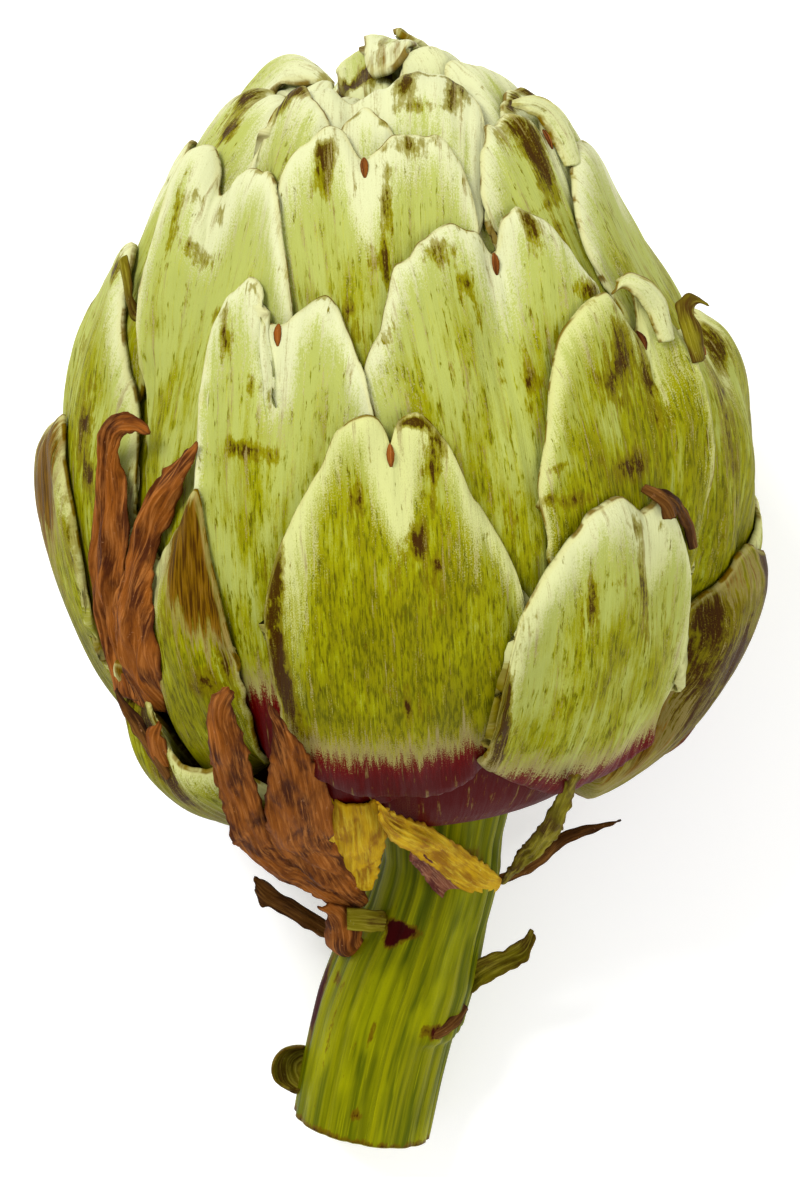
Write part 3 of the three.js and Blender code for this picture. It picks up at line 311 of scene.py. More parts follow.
AXIS = np.array([-math.sin(YAW) * math.cos(TILT), math.cos(YAW) * math.cos(TILT), math.sin(TILT)])
UP = np.array([math.sin(YAW) * math.sin(TILT), -math.cos(YAW) * math.sin(TILT), math.cos(TILT)])
ACROSS = np.cross(AXIS, UP)


def smoothstep(value, low, high):
    t = np.clip((value - low) / (high - low), 0, 1)
    return t * t * (3 - 2 * t)


def unit(vectors):
    return vectors / np.maximum(np.linalg.norm(vectors, axis=-1, keepdims=True), 1e-12)


def catmull_rom(points, count, steps=40):
    """count points along a smooth curve through the given ones, evenly spaced by arc, and its length."""
    power = 0.5
    pts = np.array(points, float)
    pts = np.vstack([2 * pts[0] - pts[1], pts, 2 * pts[-1] - pts[-2]])
    curve = []
    for p0, p1, p2, p3 in zip(pts[:-3], pts[1:-2], pts[2:-1], pts[3:]):
        t0 = 0
        t1 = t0 + np.linalg.norm(p1 - p0) ** power
        t2 = t1 + np.linalg.norm(p2 - p1) ** power
        t3 = t2 + np.linalg.norm(p3 - p2) ** power
        for t in np.linspace(t1, t2, steps, endpoint=False):
            a1 = (t1 - t) / (t1 - t0) * p0 + (t - t0) / (t1 - t0) * p1
            a2 = (t2 - t) / (t2 - t1) * p1 + (t - t1) / (t2 - t1) * p2
            a3 = (t3 - t) / (t3 - t2) * p2 + (t - t2) / (t3 - t2) * p3
            b1 = (t2 - t) / (t2 - t0) * a1 + (t - t0) / (t2 - t0) * a2
            b2 = (t3 - t) / (t3 - t1) * a2 + (t - t1) / (t3 - t1) * a3
            curve.append((t2 - t) / (t2 - t1) * b1 + (t - t1) / (t2 - t1) * b2)
    curve.append(pts[-2])
    curve = np.array(curve)
    arc = np.concatenate([[0], np.cumsum(np.linalg.norm(np.diff(curve, axis=0), axis=1))])
    even = np.linspace(0, arc[-1], count)
    return np.stack([np.interp(even, arc, curve[:, k]) for k in range(3)], axis=1), arc[-1]


def ripples(x, y, rng, wave_x, wave_y, count=6):
    """A smooth random field of about unit size, with the given wavelengths."""
    total = np.zeros_like(x)
    for _ in range(count):
        kx = rng.uniform(0.5, 1.6) / wave_x
        ky = rng.uniform(-1.2, 1.2) / wave_y
        total = total + np.sin(2 * math.pi * (kx * x + ky * y) + rng.uniform(0, 2 * math.pi))
    return total / math.sqrt(count / 2)


# ---------------------------------------------------------------- outline of the head


def sample_outline(steps=720, finer=24):
    """Angles from the tip, outline radius at each and arc length up to each."""
    mirrored = [(along, -out) for along, out in (HEAD_PROFILE[1], HEAD_PROFILE[-2])]
    pts = np.array([mirrored[0]] + HEAD_PROFILE + [mirrored[1]], float)
    curve = []
    for p0, p1, p2, p3 in zip(pts[:-3], pts[1:-2], pts[2:-1], pts[3:]):
        for t in np.arange(finer) / finer:
            curve.append(0.5 * (2 * p1 + (p2 - p0) * t + (2 * p0 - 5 * p1 + 4 * p2 - p3) * t * t
                                + (3 * p1 - p0 - 3 * p2 + p3) * t ** 3))
    curve.append(pts[-2])
    curve = np.array(curve)
    radial = np.maximum(curve[:, 1], 0)
    theta = np.linspace(0, math.pi, steps + 1)
    rho = np.interp(theta, np.arctan2(radial, curve[:, 0]), np.hypot(radial, curve[:, 0]))
    mid = (rho[1:] + rho[:-1]) / 2
    arc = np.concatenate([[0], np.cumsum(np.hypot(mid * np.diff(theta), np.diff(rho)))])
    return theta, rho, arc


OUTLINE_THETA, OUTLINE_RHO, OUTLINE_ARC = sample_outline()


def outline_radius(theta):
    return np.interp(theta, OUTLINE_THETA, OUTLINE_RHO)


def angle_at_arc(arc):
    inside = np.interp(arc, OUTLINE_ARC, OUTLINE_THETA)
    return np.where(arc < 0, arc / OUTLINE_RHO[0], inside)


def angles_of(directions):
    theta = np.arccos(np.clip(directions @ AXIS, -1, 1))
    phi = np.arctan2(directions @ ACROSS, directions @ UP) % (2 * math.pi)
    return theta, phi


def core_radius(theta):
    base = smoothstep(theta, math.radians(125), math.radians(150))
    tip = 1 - np.clip(theta / math.radians(22), 0, 1)
    return outline_radius(theta) - CORE_DEPTH + (CORE_DEPTH - CORE_BASE_DEPTH) * base - TIP_HOLLOW * tip


class ReachMap:
    """Outermost radius round the head centre of what is built so far, by direction."""

    def __init__(self, step=math.radians(0.6)):
        self.step = step
        self.rows = round(math.pi / step) + 1
        self.columns = round(2 * math.pi / step)
        core = core_radius(np.arange(self.rows) * step)
        self.reach = np.repeat(core[:, None], self.columns, axis=1)

    def at(self, directions):
        """The reach in the given directions, blended between the map's cells."""
        theta, phi = angles_of(directions)
        i = np.clip(theta / self.step, 0, self.rows - 1.001)
        j = phi / self.step
        i0 = i.astype(int)
        j0 = np.floor(j).astype(int) % self.columns
        j1 = (j0 + 1) % self.columns
        fi = i - i0
        fj = j - np.floor(j)
        near = self.reach[i0, j0] * (1 - fj) + self.reach[i0, j1] * fj
        far = self.reach[i0 + 1, j0] * (1 - fj) + self.reach[i0 + 1, j1] * fj
        return near * (1 - fi) + far * fi

    def add(self, points, finer=4):
        """Raises the map to a sheet given as rows of points round the head centre."""
        dense = refine(points, finer).reshape(-1, 3)
        radius = np.linalg.norm(dense, axis=1)
        theta, phi = angles_of(dense / radius[:, None])
        row = np.clip(np.round(theta / self.step).astype(int), 0, self.rows - 1)
        column = np.round(phi / self.step).astype(int) % self.columns
        np.maximum.at(self.reach, (row, column), radius)


def refine(grid, finer):
    """A grid of points with more rows and columns, blended between the given ones."""
    rows, columns = grid.shape[:2]
    v = np.linspace(0, rows - 1, (rows - 1) * finer + 1)
    u = np.linspace(0, columns - 1, (columns - 1) * finer + 1)
    v0 = np.minimum(v.astype(int), rows - 2)
    u0 = np.minimum(u.astype(int), columns - 2)
    fv = (v - v0)[:, None, None]
    fu = (u - u0)[None, :, None]
    lines = grid[v0] * (1 - fv) + grid[v0 + 1] * fv
    return lines[:, u0] * (1 - fu) + lines[:, u0 + 1] * fu


# ---------------------------------------------------------------- one bract


def bract_row(row):
    """A bract's row with what it leaves out filled in from the spiral and from BRACT."""
    n = row["n"]
    spec = {**BRACT, **row}
    spec["phi"] = math.radians(row.get("phi", n * GOLDEN_ANGLE))
    spec.setdefault("tip", float(np.interp(n, SPIRAL_N, SPIRAL_TIP)))
    spec.setdefault("half_width", float(np.interp(n, GROWTH_N, GROWTH_HALF_WIDTH)))
    spec.setdefault("length", float(np.interp(n, GROWTH_N, GROWTH_LENGTH)))
    spec.setdefault("top", 0.85 * spec["half_width"])
    if n > CROWN_FROM:
        spec["pale"] = 1.3 * spec["pale"]
        spec["side_pale"] = 0.3
        spec["proud"] = row.get("proud", 1.5 * min(1, (n - CROWN_FROM) / 6))
    return spec


def top_edge_of(b, count=601):
    """The top edge laid flat, from the left shoulder to the right one."""
    if b["outline"]:
        return catmull_rom([(x, y, 0) for x, y in b["outline"]], count)[0][:, :2]
    t = np.linspace(-1, 1, count)
    u = np.sin(math.pi / 2 * t)
    y = b["top"] * (1 - np.cos(math.pi / 2 * t))
    y = y + b["notch"] * np.exp(-((u / b["notch_width"]) ** 2))
    return np.stack([b["half_width"] * u, y], axis=1)


def flat_bract(b, rng, columns, rows):
    """The bract laid flat: x across it, y down from its apex, drop below its top edge.

    The columns are spaced along the top edge, where a rise counts less than a run, and fan out evenly
    below it. The rows follow the top edge at first and flatten further down.
    """
    rise_share = 0.45
    flatten_rounds = 40
    rows_crowd = 1.25
    line = top_edge_of(b)
    runs = np.hypot(np.diff(line[:, 0]), rise_share * np.diff(line[:, 1]))
    arc = np.concatenate([[0], np.cumsum(runs)])
    wanted = np.linspace(0, arc[-1], columns)
    top_x = np.interp(wanted, arc, line[:, 0])
    top_y = np.interp(wanted, arc, line[:, 1])
    ends = np.sqrt(np.clip(np.sin(math.pi * wanted / arc[-1]), 0, 1))
    top_y = top_y + b["ragged"] * ripples(wanted, 0 * wanted, rng, 5, 1) * ends
    middle = (top_x[0] + top_x[-1]) / 2
    half = (top_x[-1] - top_x[0]) / 2
    shoulder = (top_y[0] + top_y[-1]) / 2
    share = np.linspace(0, 1, rows)[:, None] ** rows_crowd
    flatter = blurred(top_y[None, :], flatten_rounds)
    start_y = top_y[None, :] + (flatter - top_y[None, :]) * smoothstep(share, 0, 0.3)
    y = start_y * (1 - share) + b["length"] * share
    drop = np.maximum(y - top_y[None, :], 0)
    below = np.clip((y - shoulder) / (b["length"] - shoulder), 0, 1)
    width = 1 - b["base_width"] * below ** b["base_power"]
    side = 1 + b["ragged"] / half * ripples(y, 0 * y, rng, 7, 1) * np.clip(drop / 6, 0, 1)
    even = np.linspace(top_x[0], top_x[-1], columns)
    start_x = top_x[None, :] + (even - top_x)[None, :] * smoothstep(share, 0, 0.4)
    x = middle + (start_x - middle) * width * side + b["bend"] * np.clip(1 - y / b["length"], 0, 1.3) ** 2
    border = np.concatenate([np.stack([x[0], y[0]], 1), np.stack([x[1:, 0], y[1:, 0]], 1),
                             np.stack([x[1:, -1], y[1:, -1]], 1)])
    grid = np.stack([x, y], axis=-1).reshape(-1, 1, 2)
    margin = np.sqrt(((grid - border[None]) ** 2).sum(-1).min(1)).reshape(x.shape)
    return dict(x=x, y=y, drop=drop, margin=margin, across=(x - middle) / half)


def notch_of(c):
    """Column and depth of the notch: where the top edge dips most between two rises."""
    y = c["y"][0]
    rise_left = np.minimum.accumulate(y)
    rise_right = np.minimum.accumulate(y[::-1])[::-1]
    depth = y - np.maximum(rise_left, rise_right)
    return int(np.argmax(depth)), float(depth.max())


def neighbours(field):
    """The field shifted by one cell up, down, left and right."""
    padded = np.pad(field, 1, mode="edge")
    return padded[:-2, 1:-1], padded[2:, 1:-1], padded[1:-1, :-2], padded[1:-1, 2:]


def spread_up(field, rounds):
    """Each cell takes the highest value among itself and its neighbours."""
    for _ in range(rounds):
        field = np.maximum.reduce([field, *neighbours(field)])
    return field


def blurred(field, rounds, pull=0.5, low=None, high=None):
    """Each cell is pulled toward the mean of its neighbours, within the given limits."""
    for _ in range(rounds):
        above, below, left, right = neighbours(field)
        mean = (above + below + left + right) / 4
        field = field + pull * (mean - field)
        if low is not None:
            field = np.clip(field, low, high)
    return field


def notch_relief(b, c, notch):
    """A valley that runs down from the notch, between two raised lobes."""
    aside = c["x"] - c["x"][0, notch]
    below = c["y"] - c["y"][0, notch]
    valley = np.exp(-(aside / 2.4) ** 2) * np.exp(-((below - 2) / 8) ** 2)
    lobes = np.exp(-((np.abs(aside) - 5) / 3.2) ** 2) * np.exp(-c["drop"] / 7)
    return 0.5 * lobes - b["dimple"] * valley


def lift_over(b, low, margin):
    """A smooth lift that is never less than low, and close to it at the bract's margin."""
    settle_rounds = 90
    settle_pull = 0.6
    slack_per_mm = 0.9
    close_margin = 2
    low = blurred(spread_up(low, 2), 12)
    bridged = blurred(np.maximum(low, blurred(low, 6)), 10)
    high = np.maximum(bridged + b["hug"] + slack_per_mm * np.maximum(margin - close_margin, 0), low)
    return blurred(np.clip(0, low, high), settle_rounds, settle_pull, low, high)


def drape_bract(b, reach, rng, columns, rows):
    """Puts a bract on the head and returns its flat coordinates with its outer points and thickness.

    It follows the head's outline with its own offset, and is lifted where it would cut what lies under
    it, by a smooth amount that stays close to what is needed.
    """
    gap = 0.1
    thick_from_margin = 7
    root_depth = 8
    c = flat_bract(b, rng, columns, rows)
    x, y, drop, margin, across = c["x"], c["y"], c["drop"], c["margin"], c["across"]
    spine = angle_at_arc(b["tip"] + y)[..., None]
    along = np.cos(b["phi"]) * UP + np.sin(b["phi"]) * ACROSS
    to_side = -np.sin(b["phi"]) * UP + np.cos(b["phi"]) * ACROSS
    turn = (x / outline_radius(np.abs(spine[..., 0])))[..., None]
    d = np.cos(turn) * (np.cos(spine) * AXIS + np.sin(spine) * along) + np.sin(turn) * to_side
    belly = b["belly"] * np.sin(math.pi * np.clip(y / (0.9 * b["length"]), 0, 1)) ** 2
    offset = (b["proud"] - b["sink"] * np.maximum(y, 0) + belly - b["crown"] * across ** 2
              - b["curl"] * np.clip(1 - drop / b["curl_length"], 0, 1) ** 2
              - b["side_curl"] * np.clip(1 - margin / 2.5, 0, 1) ** 2
              + b["flare"] * np.clip(1 - y / (0.6 * b["length"]), 0, 1) ** 1.5)
    notch, depth = notch_of(c)
    if depth > NOTCH_SHOWS:
        offset = offset + notch_relief(b, c, notch)
    long_waves = 0.30 * ripples(x, y, rng, 14, 26)
    fine_ribs = 0.06 * ripples(x, y, rng, 2.6, 60)
    offset = offset + long_waves + fine_ribs
    edge = b["edge"] + (b["lobe_edge"] - b["edge"]) * np.exp(-drop / 5)
    thickness = edge + (b["thick"] - edge) * smoothstep(margin, 0, thick_from_margin)
    radius = outline_radius(angles_of(d)[0]) + offset
    lift = lift_over(b, reach.at(d) + gap + thickness - radius, margin)
    root = smoothstep(y + 0.025 * x ** 2, 0.88 * b["length"], b["length"])
    outer = d * (radius + lift - root_depth * root)[..., None]
    c.update(outer=outer, thickness=thickness, arc=b["tip"] + y, notch=notch, notch_depth=depth)
    return c


# ---------------------------------------------------------------- meshes


def press(points):
    """Flattens what would reach below the surface: what is under 4 mm above it is pressed together."""
    band = 4.0
    lowest = -4.0
    floor = math.exp((lowest - band) / band)
    z = points[..., 2] + HEAD_CENTRE[2]
    squeezed = band * (np.exp(np.minimum(z - band, 0) / band) - floor) / (1 - floor)
    out = points.copy()
    out[..., 2] = np.where(z < band, np.maximum(squeezed, 0), z) - HEAD_CENTRE[2]
    return out


def grid_normals(points):
    return unit(np.cross(np.gradient(points, axis=0), np.gradient(points, axis=1)))


def dress(piece, node):
    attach(piece, "root")
    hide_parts(node)


def shell_mesh(name, outer, thickness, fields, material, outward=None):
    """A closed leaf from a grid of outer points: an outer and an inner sheet and a rounded rim."""
    rim_bulge = 0.45
    rows, columns = outer.shape[:2]
    normals = grid_normals(outer)
    reference = outer if outward is None else outward
    if np.mean(np.sum(normals * reference, axis=-1)) < 0:
        normals = -normals
    inner = outer - normals * thickness[..., None]
    ring = ([(0, i) for i in range(columns)] + [(j, columns - 1) for j in range(1, rows)]
            + [(rows - 1, i) for i in range(columns - 2, -1, -1)] + [(j, 0) for j in range(rows - 2, 0, -1)])
    rim = []
    for j, i in ring:
        inward_j = min(max(j, 1), rows - 2)
        inward_i = min(max(i, 1), columns - 2)
        out = unit(outer[j, i] - outer[inward_j, inward_i])
        middle = (outer[j, i] + inner[j, i]) / 2
        rim.append(middle + out * rim_bulge * thickness[j, i])
    points = np.concatenate([outer.reshape(-1, 3), inner.reshape(-1, 3), np.array(rim)])
    count = rows * columns
    j, i = np.meshgrid(np.arange(rows - 1), np.arange(columns - 1), indexing="ij")
    a = (j * columns + i).ravel()
    top = np.stack([a, a + columns, a + columns + 1, a + 1], axis=1)
    bottom = np.stack([a, a + 1, a + columns + 1, a + columns], axis=1) + count
    index = np.array([j * columns + i for j, i in ring])
    ahead = np.roll(index, -1)
    rim_index = 2 * count + np.arange(len(ring))
    rim_ahead = np.roll(rim_index, -1)
    wall_a = np.stack([index, ahead, rim_ahead, rim_index], axis=1)
    wall_b = np.stack([rim_index, rim_ahead, ahead + count, index + count], axis=1)
    faces = np.concatenate([top, bottom, wall_a, wall_b])
    if np.sum(np.cross(points[top[:, 2]] - points[top[:, 0]], points[top[:, 3]] - points[top[:, 1]])
              * normals[:-1, :-1].reshape(-1, 3)) < 0:
        faces = faces[:, ::-1]
    spread = {key: np.concatenate([value.reshape(count, -1)] * 2 + [value.reshape(count, -1)[index]])
              for key, value in fields.items()}
    return make_object(name, points, faces.tolist(), spread, material)


def tube_faces(rings, sides):
    """Faces of a closed tube of rings, with a flat face at each end."""
    j, i = np.meshgrid(np.arange(rings - 1), np.arange(sides), indexing="ij")
    near = (j * sides + i).ravel()
    beside = (j * sides + (i + 1) % sides).ravel()
    faces = np.stack([near, beside, beside + sides, near + sides], axis=1).tolist()
    first_ring = list(range(sides))
    last_ring = [(rings - 1) * sides + k for k in range(sides)]
    return faces + [first_ring[::-1], last_ring]


def make_object(name, points, faces, fields, material):
    """A mesh from points round the head centre, with a value or vector of each field at every point."""
    points = press(points) + HEAD_CENTRE
    mesh = bpy.data.meshes.new(name)
    mesh.from_pydata((points * MM).tolist(), [], faces)
    for key, value in fields.items():
        if value.shape[1] == 1:
            layer = mesh.attributes.new(key, "FLOAT", "POINT")
            layer.data.foreach_set("value", value.astype(np.float32).ravel())
        else:
            layer = mesh.attributes.new(key, "FLOAT_VECTOR", "POINT")
            layer.data.foreach_set("vector", value.astype(np.float32).ravel())
    mesh.polygons.foreach_set("use_smooth", [True] * len(mesh.polygons))
    mesh.materials.append(material)
    mesh.update()
    piece = bpy.data.objects.new(name, mesh)
    bpy.context.collection.objects.link(piece)
    return piece


# ---------------------------------------------------------------- materials


def linear(red, green, blue):
    """A colour given as 0-255 screen values."""
    def channel(value):
        value = value / 255
        return value / 12.92 if value <= 0.04045 else ((value + 0.055) / 1.055) ** 2.4
    return (channel(red), channel(green), channel(blue), 1)


def flesh(red, green, blue):
    """The surface colour of a plant part that shows as the given screen values under this light."""
    shown = linear(red, green, blue)
    return tuple(value * SURFACE_SHARE for value in shown[:3]) + (1,)


class Nodes:
    """Short names for the shader nodes that the materials use."""

    def __init__(self, name):
        self.material = bpy.data.materials.new(name)
        self.material.use_nodes = True
        self.tree = self.material.node_tree
        self.shader = self.tree.nodes["Principled BSDF"]

    def link(self, value, socket):
        if isinstance(value, (int, float, tuple)):
            socket.default_value = value
        else:
            self.tree.links.new(value, socket)

    def attribute(self, name, vector=False):
        node = self.tree.nodes.new("ShaderNodeAttribute")
        node.attribute_name = name
        return node.outputs["Vector" if vector else "Fac"]

    def math(self, operation, a, b):
        node = self.tree.nodes.new("ShaderNodeMath")
        node.operation = operation
        self.link(a, node.inputs[0])
        self.link(b, node.inputs[1])
        return node.outputs[0]

    def add(self, *values):
        total = values[0]
        for value in values[1:]:
            total = self.math("ADD", total, value)
        return total

    def times(self, a, b):
        return self.math("MULTIPLY", a, b)

    def swing(self, value, amount):
        """A noise value turned into a swing about zero."""
        return self.times(self.add(value, -0.5), amount)

    def step(self, value, low, high, to_low=0.0, to_high=1.0):
        """A smooth step from to_low at low to to_high at high."""
        node = self.tree.nodes.new("ShaderNodeMapRange")
        node.interpolation_type = "SMOOTHSTEP"
        self.link(value, node.inputs["Value"])
        ends = {"From Min": low, "From Max": high, "To Min": to_low, "To Max": to_high}
        for socket, number in ends.items():
            self.link(number, node.inputs[socket])
        return node.outputs[0]

    def noise(self, vector, scale, shift=(0, 0, 0), detail=3, roughness=0.55):
        """Noise at the given scale across, along and through the flat bract."""
        mapping = self.tree.nodes.new("ShaderNodeMapping")
        self.link(vector, mapping.inputs["Vector"])
        mapping.inputs["Scale"].default_value = scale
        mapping.inputs["Location"].default_value = shift
        node = self.tree.nodes.new("ShaderNodeTexNoise")
        self.link(mapping.outputs[0], node.inputs["Vector"])
        node.inputs["Scale"].default_value = 1.0
        node.inputs["Detail"].default_value = detail
        node.inputs["Roughness"].default_value = roughness
        return node.outputs["Fac"]

    def mix(self, share, a, b, blend="MIX"):
        node = self.tree.nodes.new("ShaderNodeMix")
        node.data_type = "RGBA"
        node.blend_type = blend
        node.clamp_result = True
        self.link(share, node.inputs["Factor"])
        self.link(a, node.inputs["A"])
        self.link(b, node.inputs["B"])
        return node.outputs["Result"]

    def paint(self, color, over, value, low, high, share=1.0):
        """Lays a colour over another where the value rises from low to high, up to the given share."""
        return self.mix(self.step(value, low, high, 0.0, share), color, over)

    def bump(self, height, strength, distance):
        node = self.tree.nodes.new("ShaderNodeBump")
        self.link(height, node.inputs["Height"])
        node.inputs["Strength"].default_value = strength
        node.inputs["Distance"].default_value = distance
        return node.outputs[0]

    def finish(self, color, roughness, normal=None):
        self.link(color, self.shader.inputs["Base Color"])
        self.link(roughness, self.shader.inputs["Roughness"])
        if normal is not None:
            self.link(normal, self.shader.inputs["Normal"])
        self.shader.inputs["IOR"].default_value = SKIN_IOR
        return self.material


def bract_material():
    n = Nodes("bract")
    flat = n.attribute("flat", vector=True)
    pale_zone = n.attribute("pale")
    stain_and_shade_zone = n.attribute("darkening")
    purple_zone = n.attribute("purple")
    dry_zone = n.attribute("dry")
    deep_zone = n.attribute("deep")
    margin = n.attribute("margin")

    # Noise that is much longer down the bract than across it.
    fibre = n.noise(flat, (3.4, 0.16, 1), detail=3, roughness=0.6)
    streak = n.noise(flat, (1.2, 0.07, 1), (7, 3, 0), detail=4, roughness=0.65)
    patch = n.noise(flat, (0.2, 0.08, 1), (2, 9, 0))
    dash = n.noise(flat, (2.3, 0.42, 1), (5, 1, 0), detail=3, roughness=0.6)
    blotch = n.noise(flat, (0.55, 0.32, 1), (3, 7, 0), detail=5, roughness=0.72)
    grain = n.noise(flat, (5.5, 4, 1), detail=2, roughness=0.7)

    # Green flesh: darker deep down the bract and by each bract's shade, with dark and pale fibres; on the
    # dark inner bract n=32 this darker green is painted shade.
    depth = n.add(deep_zone, n.swing(patch, 2.2), n.swing(streak, 1.8), n.swing(grain, 0.5))
    color = n.mix(n.step(depth, -0.1, 1.0), flesh(186, 193, 116), flesh(144, 140, 0))
    darker = n.add(n.times(depth, 0.16), n.swing(fibre, 0.7), n.swing(dash, 0.9))
    color = n.paint(color, flesh(92, 92, 0), darker, 0.06, 0.28, 0.85)
    color = n.paint(color, flesh(196, 196, 78), fibre, 0.54, 0.70, 0.4)

    # Whitish bloom on the lobes, along the edges and in patches.
    bloom = n.add(pale_zone, n.swing(streak, 1.2), n.swing(grain, 1.2), n.swing(patch, 0.9),
                  n.swing(fibre, 0.6))
    whitish = n.mix(n.step(deep_zone, 0.0, 0.4), flesh(229, 231, 188), flesh(222, 225, 160))
    color = n.paint(color, whitish, bloom, 0.28, 0.9, 0.95)

    # Small dark dashes, then olive and brown stains that run down the fibres. The same olive and brown is
    # painted shade on the receptacle's base and on the inner bracts n=32 and n=33.
    dashed_part = n.step(n.add(blotch, n.times(deep_zone, 0.08)), 0.50, 0.62)
    marks = n.times(n.step(dash, 0.60, 0.70), dashed_part)
    color = n.mix(n.times(marks, 0.75), color, flesh(92, 76, 4))
    darkening = n.add(stain_and_shade_zone, n.swing(streak, 1.3), n.swing(blotch, 1.7), n.swing(dash, 0.9))
    color = n.paint(color, flesh(126, 112, 8), darkening, 0.25, 0.6, 0.72)
    color = n.paint(color, flesh(66, 38, 10), darkening, 0.62, 1.0, 0.92)

    # Purple, felted base with a greyish fringe above it. On the lowest bracts round the stem and on the
    # receptacle's base, the dark purple is partly their own colour and partly painted shade under the head.
    purple = n.add(purple_zone, n.swing(streak, 0.9), n.swing(grain, 0.8), n.swing(fibre, 0.5))
    color = n.paint(color, flesh(176, 162, 124), purple, 0.02, 0.40, 0.7)
    color = n.paint(color, flesh(108, 26, 66), purple, 0.42, 0.62)
    color = n.paint(color, flesh(88, 6, 52), purple, 0.62, 0.95)

    # Dry brown parts with a greyish fringe.
    dry = n.add(dry_zone, n.swing(streak, 1.5), n.swing(fibre, 0.8), n.swing(blotch, 0.6))
    brown = n.mix(n.step(fibre, 0.35, 0.65), flesh(70, 42, 30), flesh(136, 98, 70))
    color = n.paint(color, flesh(168, 154, 116), dry, 0.12, 0.42, 0.6)
    color = n.paint(color, brown, dry, 0.40, 0.75, 0.95)

    # A thin brown edge, broken along its length, inside a pale rim.
    broken = n.noise(flat, (0.35, 0.35, 1), (4, 4, 0))
    color = n.mix(n.times(n.step(margin, 0.9, 0.3), 0.35), color, flesh(214, 206, 140))
    rim = n.times(n.step(margin, 0.42, 0.12), n.step(broken, 0.42, 0.58))
    color = n.mix(n.times(rim, 0.8), color, flesh(104, 62, 26))

    # The skin's shine adds white light, so a little of the blue is taken out again.
    color = n.mix(1.0, color, (0.010, 0.010, 0.042, 1), "SUBTRACT")
    height = n.add(n.times(fibre, 0.6), n.times(grain, 0.3))
    normal = n.bump(height, 0.4, 0.0004)
    roughness = n.step(fibre, 0.3, 0.7, 0.42, 0.58)
    return n.finish(color, roughness, normal)


def stem_material():
    n = Nodes("stem")
    flat = n.attribute("flat", vector=True)
    groove = n.attribute("groove")
    cut = n.attribute("cut")
    dark = n.attribute("darkening")
    line = n.noise(flat, (0.55, 0.02, 1), detail=3, roughness=0.6)
    fibre = n.noise(flat, (3, 0.08, 1), (3, 0, 0), detail=4)
    patch = n.noise(flat, (0.16, 0.04, 1), (8, 2, 0))
    grain = n.noise(flat, (4, 2.5, 1), detail=3, roughness=0.7)
    fleck = n.noise(flat, (0.9, 0.3, 1), (1, 5, 0), detail=4, roughness=0.7)

    # Green lines along the stem, paler in patches and darkest in its grooves; the dark of the grooves is
    # partly the stem's own colour and partly painted shade.
    color = n.mix(n.step(line, 0.35, 0.65), flesh(88, 98, 0), flesh(146, 146, 8))
    color = n.paint(color, flesh(174, 176, 70), patch, 0.52, 0.7, 0.6)
    color = n.paint(color, flesh(60, 72, 0), groove, 0.2, 1.0, 0.75)
    color = n.paint(color, flesh(186, 186, 76), fibre, 0.55, 0.72, 0.4)
    color = n.paint(color, flesh(104, 104, 2), grain, 0.56, 0.7, 0.3)

    # Olive flecks, then the scars and marks, and the pale pith of the cut end.
    color = n.paint(color, flesh(110, 92, 8), fleck, 0.64, 0.74, 0.6)
    darkening = n.add(dark, n.swing(fleck, 1.4))
    color = n.paint(color, flesh(112, 84, 10), darkening, 0.3, 0.5, 0.8)
    color = n.paint(color, flesh(64, 22, 12), darkening, 0.5, 0.8)
    pith = n.mix(n.step(fleck, 0.4, 0.6), flesh(196, 194, 132), flesh(150, 140, 70))
    color = n.paint(color, pith, cut, 0.4, 0.6)
    color = n.mix(1.0, color, (0.006, 0.006, 0.03, 1), "SUBTRACT")
    normal = n.bump(n.add(fibre, line), 0.3, 0.0004)
    return n.finish(color, n.step(fibre, 0.3, 0.7, 0.38, 0.55), normal)


def dry_material(name, light, mid, dark, fleck_color=(206, 150, 104)):
    """A wilting or dry bract: light and dark run along its fibres, and its edges are darkest."""
    n = Nodes(name)
    flat = n.attribute("flat", vector=True)
    margin = n.attribute("margin")
    fibre = n.noise(flat, (2.6, 0.14, 1), detail=5, roughness=0.65)
    patch = n.noise(flat, (0.4, 0.12, 1), (3, 8, 0), detail=4)
    fleck = n.noise(flat, (1.7, 0.9, 1), (1, 2, 0), detail=4, roughness=0.7)
    color = n.mix(n.step(patch, 0.35, 0.6), flesh(*dark), flesh(*mid))
    color = n.paint(color, flesh(*light), fibre, 0.45, 0.7, 0.75)
    color = n.paint(color, flesh(*dark), fibre, 0.45, 0.3, 0.6)
    color = n.paint(color, flesh(*fleck_color), fleck, 0.62, 0.74, 0.5)
    color = n.paint(color, flesh(*dark), n.add(margin, n.times(patch, 0.8)), 0.75, 0.3, 0.7)
    normal = n.bump(n.add(n.times(fibre, 0.8), n.times(patch, 0.8)), 0.6, 0.0006)
    return n.finish(color, n.step(fibre, 0.3, 0.7, 0.6, 0.85), normal)


# ---------------------------------------------------------------- the head


def spots(b, key, x, y):
    """Sum of the soft spots that a bract's row lists."""
    total = np.zeros_like(x)
    for spot_x, spot_y, reach_x, reach_y, strength in b[key]:
        span = ((x - spot_x) / (1.3 * reach_x)) ** 2 + ((y - spot_y) / (1.2 * reach_y)) ** 2
        total = total + strength * np.exp(-span ** 1.1)
    return total


